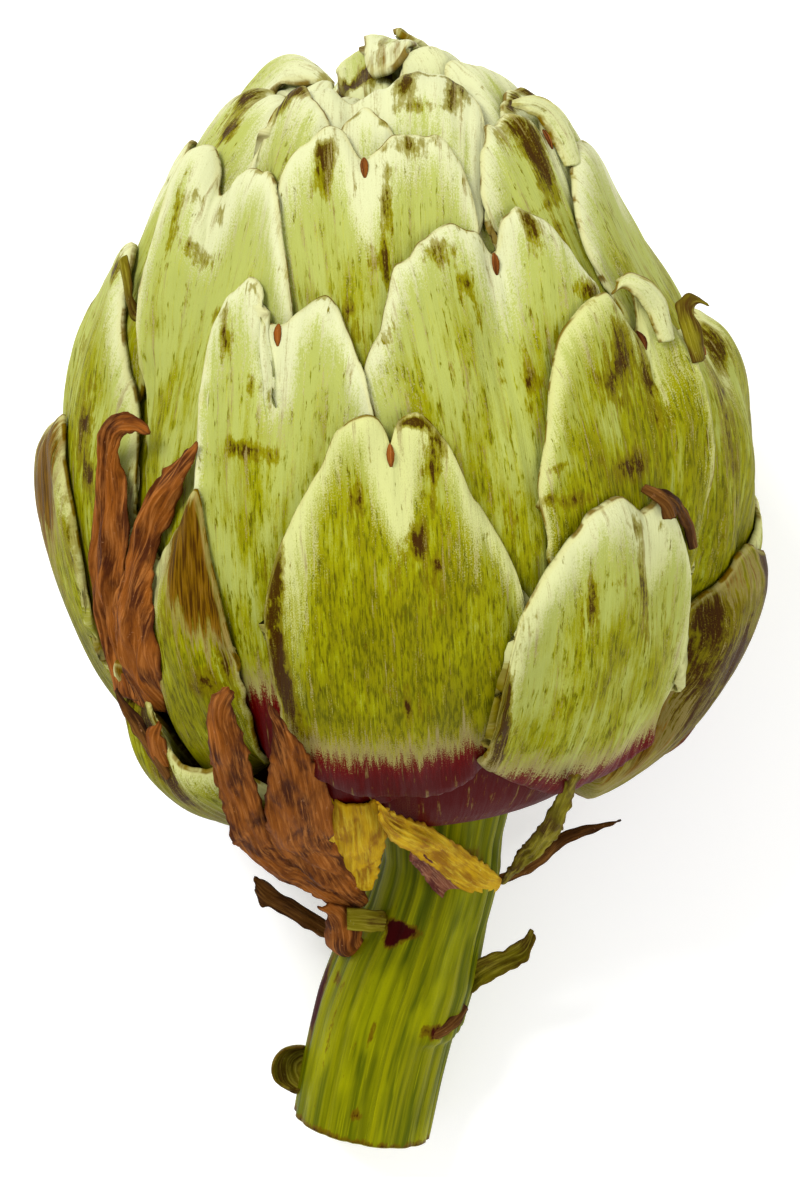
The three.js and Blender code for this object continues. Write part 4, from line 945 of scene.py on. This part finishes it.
def bract_fields(b, c, rng):
    """What the bract's material reads at each point: where it is, and how strong each tone is there."""
    x, y, drop, margin = c["x"], c["y"], c["drop"], c["margin"]
    noise_apart = 3.7
    flat = np.stack([x, y, np.full_like(x, noise_apart * b["n"])], axis=-1)
    pale = np.exp(-drop / 6) * 0.8 + np.exp(-margin / 1.3) * 0.2 + b["side_pale"] * np.exp(-margin / 4)
    pale = pale + 0.13 * smoothstep(c["arc"], 50, 15)     # toward the crown
    if c["notch_depth"] > NOTCH_SHOWS:
        halo = ((x - x[0, c["notch"]]) / 3.2) ** 2 + ((y - y[0, c["notch"]] - 4) / 9) ** 2
        pale = pale + 0.6 * np.exp(-halo)
    # Row n=32's shade, and the stain spots of rows n=32 and n=33, are painted shade of the opening among the
    # crown's bracts.
    deep = smoothstep(c["arc"], 30, 112) * 0.6 + 0.2 * smoothstep(drop, 2, 26) + b["shade"]
    darkening = 0.10 * np.exp(-drop / 3.5) + b["blotches"] * 0.22 * (ripples(x, y, rng, 9, 22) - 0.9)
    darkening = np.maximum(darkening, -0.15) + spots(b, "stains_and_shade", x, y)
    purple = smoothstep(c["arc"], b["purple"] - 13, b["purple"] + 5)
    pale = b["pale"] * pale + spots(b, "blooms", x, y)
    dry = spots(b, "dries", x, y)
    return dict(flat=flat, pale=pale, deep=deep, darkening=darkening, purple=purple, dry=dry, margin=margin)


def build_head(material, spine_material):
    """Drapes the bracts from the innermost to the outermost, each over what is there already."""
    first_seed = 1000
    first_name = 21
    reach = ReachMap()
    spines = []
    for row in sorted(BRACTS, key=lambda r: -r.get("layer", r["n"])):
        b = bract_row(row)
        rng = np.random.default_rng(first_seed + round(2 * b["n"]))
        small = b["n"] > 24 or b["n"] < -11
        columns, rows = SMALL_GRID if small else BRACT_GRID
        if b["outline"]:
            columns = DRAWN_COLUMNS
        c = drape_bract(b, reach, rng, columns, rows)
        name = "bract_" + format(b["n"] + first_name, "04.1f").replace(".0", "").replace(".", "_")
        piece = shell_mesh(name, c["outer"], c["thickness"], bract_fields(b, c, rng), material)
        dress(piece, "head")
        if not small and b["spine"] and c["notch_depth"] > NOTCH_SHOWS:
            spines.append(spine_line(b["spine"], c))
        reach.add(c["outer"])
    build_core(material)
    build_spines(spines, spine_material)


def spine_line(size, c):
    """Points up the outer face below a notch, along which its thorn lies, and the thorn's size."""
    column = c["outer"][:, c["notch"]]
    run = c["drop"][:, c["notch"]]
    places = np.array([3.0, 2.2, 1.4, 0.7, 0.2, 0.0]) * size
    line = np.stack([np.interp(places, run, column[:, k]) for k in range(3)], axis=1)
    return size, line


def build_core(material, rows=40, columns=64):
    """The receptacle that the bracts grow from, purple at its base, darkened there with painted shade."""
    near_pole = 0.02
    mean_radius = 25
    theta = np.linspace(near_pole, math.pi - near_pole, rows)
    phi = np.linspace(0, 2 * math.pi, columns, endpoint=False)
    t, p = np.meshgrid(theta, phi, indexing="ij")
    d = (np.cos(t)[..., None] * AXIS + (np.sin(t) * np.cos(p))[..., None] * UP
         + (np.sin(t) * np.sin(p))[..., None] * ACROSS)
    points = (d * core_radius(t)[..., None]).reshape(-1, 3)
    faces = [face[::-1] for face in tube_faces(rows, columns)]
    arc = np.interp(t, OUTLINE_THETA, OUTLINE_ARC)
    zero = np.zeros((rows * columns, 1))
    flat = np.stack([p * mean_radius, arc, 0 * p], axis=-1).reshape(-1, 3)
    base = smoothstep(arc, 106, 118).reshape(-1, 1)
    # At its base it is drawn dark purple: partly its own purple, and with the added stain and the paleness
    # taken away, painted shade under the bracts.
    fields = dict(flat=flat, pale=0.15 - base, deep=zero + 0.8, darkening=0.1 + 0.5 * base, purple=1.1 * base,
                  dry=zero, margin=zero + 9)
    piece = make_object("receptacle", points, faces, fields, material)
    dress(piece, "head")


def build_spines(spines, material, sides=10):
    """The thorns in the notches: each is a spindle that lies on its bract, thickest below the middle."""
    points, faces, flat = [], [], []
    widths = (0.25, 0.62, 0.72, 0.55, 0.3, 0.05)
    heights = (-0.1, 0.25, 0.45, 0.6, 0.75, 0.95)
    width_scale = 0.8
    flatness = 0.7
    for size, line in spines:
        heading = unit(line[-1] - line[0])
        normal = unit(line[2] - heading * (line[2] @ heading))
        across = np.cross(heading, normal)
        start = len(points)
        for k, (width, height) in enumerate(zip(widths, heights)):
            for s in range(sides):
                angle = 2 * math.pi * s / sides
                swing = width_scale * width * (math.cos(angle) * across + flatness * math.sin(angle) * normal)
                points.append(line[k] + size * (swing + flatness * height * normal))
                flat.append((s * 0.4, k * 0.6, start * 0.01))
        faces += [[start + corner for corner in face] for face in tube_faces(len(widths), sides)]
    fields = dict(flat=np.array(flat), margin=np.full((len(points), 1), 2.0))
    piece = make_object("bract_spines", np.array(points), faces, fields, material)
    dress(piece, "head")


# ---------------------------------------------------------------- the stem


def stem_grooves(turn, share, count=17):
    """Depth of the long grooves, as relief in mm and as a share of the deepest."""
    deepest = 0.6
    rng = np.random.default_rng(5)
    groove = np.zeros_like(turn)
    relief = np.zeros_like(turn)
    for k in range(count):
        where = 2 * math.pi * (k + rng.uniform(-0.25, 0.25)) / count + 0.10 * np.sin(3 * share + k)
        width = rng.uniform(0.05, 0.10)
        depth = rng.uniform(0.25, deepest)
        gap = (turn - where + math.pi) % (2 * math.pi) - math.pi
        line = np.exp(-(gap / width) ** 2)
        groove = np.maximum(groove, line * depth / deepest)
        relief = relief - depth * line
    return groove, relief


def sheath_cover(degrees, share):
    """1 where the base of a leaf sheathes the stem, on its left side, down to the scar it ends in."""
    edge_at = -4 - 22 * smoothstep(share, 0.35, 0.68)
    return (smoothstep(degrees, edge_at, edge_at - 7) * smoothstep(degrees, -150, -120)
            * smoothstep(share, 0.1, 0.2) * smoothstep(share, 0.69, 0.655))


def build_stem(material, rings=90, sides=144):
    """The ribbed stem, with the sheath of a leaf's base and a domed cut end."""
    mean_radius = 10.4
    sheath_rise = 0.95
    path, length = catmull_rom(STEM_PATH, rings)
    radii = np.interp(np.linspace(0, len(STEM_RADIUS) - 1, rings), range(len(STEM_RADIUS)), STEM_RADIUS)
    along = unit(np.gradient(path, axis=0))
    t = np.linspace(0, 1, rings)
    # The first quarter of the stem turns into the head's axis.
    share = np.maximum(0, 1 - 4 * t)[:, None]
    along = unit(along * (1 - share) - AXIS * share)
    path[0] = path[0] - along[0] * STEM_TOP_RISE
    out = unit(UP - along * (along @ UP)[:, None])
    across = np.cross(along, out)
    angle = np.linspace(0, 2 * math.pi, sides, endpoint=False)
    a, tt = np.meshgrid(angle, t)
    groove, relief = stem_grooves(a, tt)
    degrees = (np.degrees(a) + 180) % 360 - 180
    r = radii[:, None] + (relief + sheath_rise * sheath_cover(degrees, tt))
    points = (path[:, None, :] + (r * np.cos(a))[..., None] * out[:, None, :]
              + (r * np.sin(a))[..., None] * across[:, None, :])
    # The cut end is slightly domed and its rim is rounded.
    dome = 1.2
    rim_step = 0.2
    caps = [path[-1] + along[-1] * (dome * (1 - s ** 2) + rim_step) + (points[-1] - path[-1]) * s
            for s in (0.97, 0.85, 0.6, 0.3)]
    grid = np.concatenate([points, np.array(caps)])
    count = len(grid)
    round_it = np.tile(a[0] * mean_radius, (count, 1))
    down_it = np.repeat(np.arange(count)[:, None] * length / rings, sides, 1)
    pad = np.zeros((len(caps), sides))
    patch = 0.6 * smoothstep(tt, 0.975, 1.0)     # the cut's dry rim
    for at, turn, reach, reach_turn, strength in STEM_MARKS:
        patch = patch + strength * np.exp(-(((tt - at) / reach) ** 2 + ((degrees - turn) / reach_turn) ** 2))
    grids = dict(
        flat=np.stack([round_it, down_it, np.zeros((count, sides))], axis=-1),
        groove=np.concatenate([groove, pad]),
        cut=np.concatenate([np.zeros((rings, sides)), pad + 1]),
        darkening=np.concatenate([patch, pad]),
    )
    fields = {key: field.reshape(count * sides, -1) for key, field in grids.items()}
    piece = make_object("stem_skin", grid.reshape(-1, 3), tube_faces(count, sides), fields, material)
    dress(piece, "stem")


# ---------------------------------------------------------------- loose bracts, dried lobes, stem leaves

# Each leaf is a sheet between two edges, given from its root to its tip round the head centre.
# crown: rise of its middle over the edges, as a share of half its width. wave: its ripples, in mm.
# look: its material. replaces: the solid that it stands for.
RIBBONS = [
    dict(name="forked_left", look="rust", replaces="dry_bract_forked", crown=0.3, wave=0.3,
         left=[(-7.1, -59.6, -17), (-10.7, -58.2, -12.5), (-15, -55.4, -4), (-19.5, -52.5, 3.5),
               (-22.4, -49.6, 11), (-23.7, -46.1, 20), (-24.6, -42, 26), (-25.6, -37.6, 33),
               (-26.1, -33.3, 40), (-26.2, -29.9, 41.5), (-25.7, -28, 44), (-24.6, -27, 46.5),
               (-23.3, -26.4, 48.5)],
         right=[(-5.7, -59, -17), (-8.8, -56.7, -11.5), (-12, -53.3, -2), (-15.1, -50.1, 5.5),
                (-17.2, -47.8, 13), (-18.3, -45.7, 19), (-19.1, -42, 25), (-20.2, -37.7, 32),
                (-21.1, -34, 39), (-22.2, -30.8, 42), (-22.6, -28.9, 44.5), (-22.6, -27.7, 46),
                (-22.3, -27, 47.5)]),
    dict(name="forked_right", look="rust", replaces="dry_bract_forked", crown=0.3, wave=0.25,
         left=[(-6.3, -59.3, -16.5), (-9.6, -57.1, -11), (-13, -53.8, -1.5), (-16, -50.5, 7),
               (-18.2, -48.3, 14), (-18.5, -45.6, 22), (-18.3, -41.9, 28), (-17.9, -38.4, 33),
               (-17.5, -35.4, 37.5), (-17.2, -33, 39.5), (-17.3, -30.8, 40.5), (-17.6, -28.9, 41.5),
               (-17.7, -28.2, 43)],
         right=[(-4.4, -58.1, -16.5), (-5.4, -55.5, -10.5), (-6.4, -52.7, -3.5), (-7.2, -49.8, 4.5),
                (-8.2, -46.6, 13.5), (-9.2, -42.8, 22), (-10.6, -39.1, 29), (-12.1, -35.8, 34.5),
                (-13.5, -33.7, 37.5), (-14.9, -32.3, 39.5), (-16, -30.7, 41), (-16.8, -29.5, 42.5),
                (-17.3, -28.5, 43)]),
    dict(name="yellow", look="yellow", replaces="dry_bract_yellow", crown=0.3, wave=0.25,
         left=[(15, -55, -18), (13.1, -53, -10.5), (10.1, -50.6, -2), (6.9, -48.1, 6), (4.1, -46.1, 14),
               (1.6, -44.9, 19.5), (-0.3, -44, 24.5), (-1.8, -43, 29.5), (-2.8, -42, 33)],
         right=[(13.3, -57.2, -21), (11.5, -57, -17), (9.3, -56.2, -10.5), (6.6, -53.9, -3.5),
                (4.1, -51.5, 5.5), (1.8, -49.8, 14), (-0.1, -48.5, 20), (-1.8, -46.9, 26.5),
                (-2.8, -44.3, 31.5)]),
    dict(name="yellow_fold", look="pink", replaces="dry_bract_yellow", crown=-0.3, wave=0.1,
         left=[(13.3, -56.5, -20), (11.6, -56.7, -17), (9.3, -55.9, -10.5), (6.6, -53.5, -2.5),
               (4.1, -51.1, 7), (2.1, -49.7, 13)],
         right=[(12.6, -57.6, -21.5), (10.4, -59, -20), (8.9, -59.7, -17), (5.9, -57, -11),
                (3.6, -53.7, -1), (1.8, -51, 11)]),
    dict(name="olive", look="olive", replaces="dry_bract_olive", crown=0.35, wave=0.2,
         left=[(14.8, -55.9, -22), (16.4, -52.2, -11.5), (18.2, -49.1, -2.5), (20.3, -45.7, 7.5),
               (21.7, -42.6, 14.5), (22.7, -40.4, 21), (24, -38.5, 27.5)],
         right=[(15.9, -55.6, -21.5), (18.7, -52.5, -11.5), (21.1, -50.1, -3), (22.7, -47.3, 7.5),
                (23.8, -44, 15), (24.4, -41.2, 21), (24.9, -38.8, 27.5)]),
    dict(name="thin", look="umber", replaces="dry_bract_thin", crown=0.3, wave=0.1,
         left=[(8.6, -55.9, -28.3), (11, -55.6, -31.5), (14.6, -55.2, -34), (20.6, -52.2, -36),
               (23.7, -49.3, -37), (26.8, -48.1, -37), (29.6, -47.6, -37), (31.6, -47.3, -36),
               (32.8, -46.9, -35)],
         right=[(8.8, -57.3, -28.6), (11.2, -57, -31.7), (14.8, -56.6, -34), (21.3, -53.8, -36),
                (24.3, -51, -37), (27.1, -49.7, -37), (29.7, -48.6, -37), (31.7, -47.8, -36),
                (32.9, -47.2, -35)]),
    dict(name="inner", look="yellow", replaces="dry_bract_inner", crown=0.25, wave=0.25,
         left=[(-7.1, -55.6, -12), (-9.1, -51.4, 0), (-10.4, -47.4, 12), (-10.8, -43.9, 18.5),
               (-10.2, -42.1, 22)],
         right=[(-3.9, -56.3, -12), (-2.7, -52.2, -1), (-1.9, -48.1, 12), (-2, -44.3, 18.5),
                (-3.4, -42.1, 22)]),
    dict(name="left", look="umber", replaces="stem_leaf_left", crown=0.3, wave=0.2,
         left=[(-5, -64, -31.5), (-9.5, -62.5, -31), (-12, -61, -31), (-14.6, -59.2, -30),
               (-16.5, -58, -29), (-18.1, -57.1, -28), (-19.3, -55.8, -27), (-21, -55, -25)],
         right=[(-5, -65.6, -31.5), (-9, -64.9, -31), (-12, -63.8, -31), (-14.6, -62.3, -30),
                (-16.7, -60.8, -29), (-18.7, -59.7, -28), (-20.3, -59.2, -27), (-21.2, -57, -26)]),
    dict(name="hood", look="rust", replaces="stem_leaf_hood", crown=0.6, wave=0.1,
         left=[(-10, -65.6, -24), (-10.7, -64.6, -21), (-10.9, -62.4, -18), (-10.5, -60.3, -14.5),
               (-11.7, -58.7, -12)],
         right=[(-5, -64.4, -22), (-5.4, -63.7, -19), (-5.4, -61.7, -17), (-6.8, -59.6, -14.5),
                (-10, -58.2, -12)]),
    dict(name="band", look="olive", replaces="stem_leaf_hood", crown=0.3, wave=0.1,
         left=[(-7.4, -58.9, -13), (-4.2, -59.3, -15), (-1.3, -59.9, -18), (0.9, -60.9, -22)],
         right=[(-7.4, -62.2, -14), (-4.2, -62.6, -16), (-1.6, -62.5, -19), (0.6, -62.1, -23)]),
    dict(name="right", look="olive", replaces="stem_leaf_right", crown=-0.4, wave=0.2,
         left=[(5.6, -78.6, -31), (6.9, -75.2, -31), (8.2, -71.5, -28), (10.1, -68.4, -26),
               (13, -66.7, -24), (15.9, -65.5, -22), (18, -64, -20), (19.2, -62.4, -18)],
         right=[(7, -78.6, -31.5), (9.3, -75.2, -31), (9.9, -72.9, -29), (11.9, -71.1, -27),
                (14.4, -69.5, -25), (16.8, -68.1, -23), (18.6, -66.7, -21), (19.7, -63.6, -19)]),
    dict(name="right_scar", look="umber", replaces="stem_leaf_right", crown=0.4, wave=0.1,
         left=[(2.2, -77.8, -25.5), (4.8, -76.5, -24), (7.2, -74.8, -25), (9, -73.2, -27)],
         right=[(2.8, -79.3, -26), (5.4, -78.9, -24.5), (8.4, -77.2, -25.5), (10.2, -74.7, -28)]),
    dict(name="nub", look="olive", replaces="stem", crown=-0.35, wave=0.15,
         left=[(-14.2, -81, -36), (-16.6, -81.2, -35), (-18, -82.1, -34), (-18.6, -83.6, -34),
               (-18.4, -85.4, -35), (-16.8, -86.6, -36), (-14, -87.4, -37)],
         right=[(-13.4, -82, -38), (-13.8, -82.6, -38.5), (-14, -83.4, -39), (-14, -84.4, -39),
                (-14, -85.4, -39), (-13.8, -86.6, -38.5), (-13.4, -88, -38)]),
    dict(name="dried_lobe_left", look="rust", replaces="head", crown=0.35, wave=0.35,
         left=[(-40.1, -26.9, 14), (-40.9, -21.3, 12.5), (-42.4, -14.2, 16), (-43, -8.6, 20),
               (-42.5, -4.5, 23.5), (-42, -0.3, 26), (-41.8, 3.8, 28.5), (-41.5, 7.2, 30.5),
               (-40.9, 9.4, 33), (-39.8, 10.8, 35.5), (-38.3, 11.2, 37.5), (-36.4, 10.7, 39),
               (-34.8, 9.6, 39.5), (-34, 8.9, 39.5)],
         right=[(-35.9, -28.2, 20.5), (-37, -22, 18.5), (-38.3, -14.2, 23.5), (-37.6, -9.4, 27),
                (-37.3, -4.5, 30.2), (-37.5, -1.1, 31), (-38, 2.4, 31.5), (-38.5, 5.4, 32),
                (-38.4, 7.1, 33), (-37.9, 8.2, 34.5), (-37.2, 8.7, 36.5), (-36.1, 8.9, 37.5),
                (-35, 8.5, 38.5), (-34.2, 8.2, 39)]),
    dict(name="dried_lobe_right", look="rust", replaces="head", crown=0.35, wave=0.3,
         left=[(-37.3, -28.3, 19), (-38.8, -21.6, 17), (-39.3, -14.2, 22.5), (-37.9, -10.1, 27.5),
               (-37.1, -6.6, 30.5), (-36.3, -3.2, 32), (-35.1, -0.5, 34), (-33.5, 2, 36.5),
               (-31.7, 3.9, 39), (-29.9, 5.5, 41), (-28.6, 6.5, 43), (-27.7, 7.2, 44.5)],
         right=[(-32.5, -29.9, 20.5), (-33.2, -22.5, 30.5), (-34.4, -14.9, 33.5), (-34.2, -10.8, 34),
                (-33.3, -7.3, 34), (-32.2, -4.3, 36), (-31, -1.6, 38), (-29.9, 0.3, 39.5), (-29.1, 1.9, 41),
                (-28.5, 3.7, 42.5), (-28, 5.5, 43.5), (-27.4, 6.8, 44.5)]),
    dict(name="fold_left", look="olive", replaces="head", crown=0.5, wave=0.1,
         left=[(-38.7, 32.4, 31), (-38.2, 30, 31), (-37.7, 27.2, 30), (-37.1, 24.8, 29), (-35.6, 23.7, 30),
               (-33.3, 24.6, 33)],
         right=[(-37.5, 33.2, 32), (-37, 30.6, 32), (-36.6, 27.9, 31), (-35.9, 25.7, 30), (-34.8, 25, 31),
                (-32.7, 25.7, 34)]),
    dict(name="dried_curl_right", look="umber", replaces="head", crown=0.5, wave=0.3,
         left=[(33.1, 0.6, 38), (34.4, -0.3, 38.5), (35.8, -1.6, 38.5), (36.3, -3.2, 37.5)],
         right=[(33.8, 1.6, 38.5), (35.8, 0.8, 39), (37.4, -0.5, 38), (38.3, -2.4, 36)]),
    dict(name="dried_rim_right", look="umber", replaces="head", crown=0.4, wave=0.2,
         left=[(40.4, -7.3, 26), (39.7, -4.9, 28.5), (38.6, -3.1, 31.5), (36.8, -1.1, 36.5), (34.9, 0, 38)],
         right=[(41.5, -6.5, 24.5), (40.9, -4, 27.2), (39.9, -2, 30), (38, 0.3, 35), (35.7, 1.1, 37.5)]),
    dict(name="curl_upper_right", look="fresh", replaces="head", crown=0.5, wave=0.2,
         left=[(22.9, 45.5, 33), (21, 49.2, 34), (19.2, 51.8, 35), (17.3, 52.8, 35.8), (15.5, 53.5, 36.5)],
         right=[(25.2, 46.2, 30.5), (24, 50.2, 31), (21.9, 53.4, 32.5), (18.8, 55.2, 34), (15.6, 54.4, 36)]),
    dict(name="curl_right", look="fresh", replaces="head", crown=0.5, wave=0.15,
         left=[(35.8, 21.2, 34.5), (33.8, 25.7, 36), (32, 27.5, 37.5), (30.4, 28.3, 38), (29.2, 27.6, 38.5)],
         right=[(38, 22, 31.8), (36.5, 27.2, 33.5), (34.6, 29.7, 35), (32, 30.7, 36.5), (29.8, 29.7, 38)]),
    dict(name="curl_far_right", look="olive", replaces="head", crown=0.4, wave=0.15,
         left=[(40.6, 18.5, 31.4), (39.1, 22.8, 32.5), (38.4, 26.7, 32.5), (39.8, 28.1, 31.5),
               (42.4, 27, 30.5)],
         right=[(42.4, 19.3, 29), (41.6, 23.2, 30.5), (40.6, 25.4, 31.5), (41.4, 26.7, 31),
                (42.7, 26.4, 30.5)]),
    dict(name="dried_lobe_low_outer", look="umber", replaces="head", crown=0.4, wave=0.2,
         left=[(-32.8, -39.5, 16.5), (-34.6, -36.8, 18.5), (-36.7, -33.4, 20), (-38.5, -30, 20.5),
               (-39.8, -27, 19.5)],
         right=[(-31.9, -38.7, 17.8), (-33.4, -35.5, 19.8), (-35.3, -32.2, 21), (-37.2, -29.5, 21.2),
                (-39.5, -26.7, 20)]),
    dict(name="dried_lobe_low_inner", look="rust", replaces="head", crown=0.4, wave=0.2,
         left=[(-33.6, -38.4, 17), (-35.4, -34.9, 19.5), (-35.3, -32.6, 21.5), (-33.7, -31.2, 24)],
         right=[(-32, -37.8, 18), (-32.6, -34.1, 22), (-33.2, -32, 23.5), (-33.3, -31, 24.2)]),
]


def build_ribbon(row, materials, seed, rows=80, columns=27):
    """A leaf between two edges, with a curved cross-section, ripples and rough edges."""
    roughness = 0.09
    noise_apart = 2.3
    rng = np.random.default_rng(seed)
    left, length = catmull_rom(row["left"], rows)
    right, _ = catmull_rom(row["right"], rows)
    middle = (left + right) / 2
    width = np.linalg.norm(right - left, axis=1)
    side = unit(right - left)
    along = unit(np.gradient(middle, axis=0))
    normal = unit(np.cross(side, along))
    if np.median(normal @ UP_WORLD + 0.5 * (normal * unit(middle)).sum(1)) < 0:
        normal = -normal
    s = np.linspace(0, length, rows)[:, None]
    grow = np.clip(s / 8, 0, 1)
    rough_left = roughness * ripples(s, 0 * s, rng, 4, 1) * grow
    rough_right = roughness * ripples(s, 0 * s, rng, 4, 1) * grow
    v = np.linspace(0, 1, columns)[None, :]
    t = 2 * v - 1
    x = t * width[:, None] / 2 + rough_left * (1 - v) + rough_right * v
    ss = np.repeat(s, columns, axis=1)
    rise = row["crown"] * width[:, None] / 2 * (1 - t ** 2)
    wave = row["wave"] * (ripples(x, ss, rng, 5, 10) + 0.35 * ripples(x, ss, rng, 1.2, 16)) * grow
    points = middle[:, None] + side[:, None] * x[..., None] + normal[:, None] * (rise + wave)[..., None]
    drop = length - ss
    margin = np.minimum((1 - np.abs(t)) * width[:, None] / 2, drop)
    zero = np.zeros_like(x)
    fields = dict(flat=np.stack([x, drop, zero + seed * noise_apart], axis=-1), margin=margin, pale=zero + 0.8,
                  deep=zero + 0.2, darkening=0.35 * np.exp(-margin), purple=zero, dry=zero)
    outward = np.repeat(normal[:, None], columns, axis=1)
    thickness = 0.35 + 0.3 * smoothstep(margin, 0, 1.5)
    from_tip = {key: field[::-1] for key, field in fields.items()}
    piece = shell_mesh("leaf_" + row["name"], points[::-1], thickness[::-1], from_tip,
                       materials[row["look"]], outward=outward[::-1])
    dress(piece, row["replaces"])


# ---------------------------------------------------------------- stage, light and camera


def build_stage():
    """A plain white floor that glows a little, just under the part."""
    size = 3.0
    below = 0.0005
    mesh = bpy.data.meshes.new("floor")
    corners = [(-size, -size, 0), (size, -size, 0), (size, size, 0), (-size, size, 0)]
    mesh.from_pydata(corners, [], [(0, 1, 2, 3)])
    floor = bpy.data.objects.new("floor", mesh)
    bpy.context.collection.objects.link(floor)
    n = Nodes("floor")
    place = n.tree.nodes.new("ShaderNodeTexCoord").outputs["Object"]
    mottle = n.noise(place, (3, 3, 3))
    color = n.mix(mottle, (0.92, 0.92, 0.915, 1), (0.94, 0.94, 0.935, 1))
    mesh.materials.append(n.finish(color, 0.9))
    n.shader.inputs["Specular IOR Level"].default_value = 0.1
    n.shader.inputs["Emission Color"].default_value = (1, 1, 1, 1)
    n.shader.inputs["Emission Strength"].default_value = 0.27
    floor.location.z = -below


def area_light(name, place, target, size, power):
    """A round white light, in metres and watts, turned toward the target."""
    data = bpy.data.lights.new(name, "AREA")
    data.shape = "DISK"
    data.size = size
    data.energy = power
    light = bpy.data.objects.new(name, data)
    light.location = place
    bpy.context.collection.objects.link(light)
    light.rotation_euler = (Vector(target) - Vector(place)).to_track_quat("-Z", "Y").to_euler()


def build_lights():
    centre = (HEAD_CENTRE * MM).tolist()
    area_light("key", (-0.45, 0.5, 1.0), centre, 0.45, 12.4)
    area_light("fill", (0.75, -0.4, 0.95), centre, 0.9, 6)
    world = bpy.data.worlds.new("studio")
    world.use_nodes = True
    background = world.node_tree.nodes["Background"]
    background.inputs["Color"].default_value = (1, 1, 1, 1)
    background.inputs["Strength"].default_value = 0.6
    bpy.context.scene.world = world


def build_camera():
    """Looks straight down, with the picture's longer side up in y."""
    longer_side = PICTURE[1] / PIXELS_PER_MM
    data = bpy.data.cameras.new("camera")
    data.sensor_fit = "AUTO"
    data.sensor_width = SENSOR_WIDTH
    data.lens = SENSOR_WIDTH * CAMERA_HEIGHT / longer_side
    data.clip_start = 0.01
    camera = bpy.data.objects.new("camera", data)
    shift_x = (PICTURE[0] / 2 - HEAD_CENTRE_PIXEL[0]) / PIXELS_PER_MM
    shift_y = (HEAD_CENTRE_PIXEL[1] - PICTURE[1] / 2) / PIXELS_PER_MM
    camera.location = ((HEAD_CENTRE + [shift_x, shift_y, CAMERA_HEIGHT]) * MM).tolist()
    bpy.context.collection.objects.link(camera)
    bpy.context.scene.camera = camera


def main():
    first_seed = 40
    build_camera()
    build_lights()
    build_stage()
    materials = dict(
        fresh=bract_material(),
        rust=dry_material("dry_rust", (200, 128, 62), (150, 84, 24), (74, 34, 12)),
        yellow=dry_material("wilting_yellow", (234, 204, 60), (212, 168, 10), (156, 106, 8), (230, 214, 120)),
        olive=dry_material("wilting_olive", (176, 164, 56), (128, 118, 12), (84, 58, 12), (196, 190, 110)),
        pink=dry_material("wilting_pink", (196, 146, 112), (142, 84, 58), (88, 34, 30)),
        umber=dry_material("wilting_umber", (150, 104, 50), (98, 60, 20), (48, 24, 10)),
    )
    build_head(materials["fresh"], materials["rust"])
    build_stem(stem_material())
    for seed, row in enumerate(RIBBONS, first_seed):
        build_ribbon(row, materials, seed)
    bpy.context.scene.view_settings.view_transform = "Standard"


main()
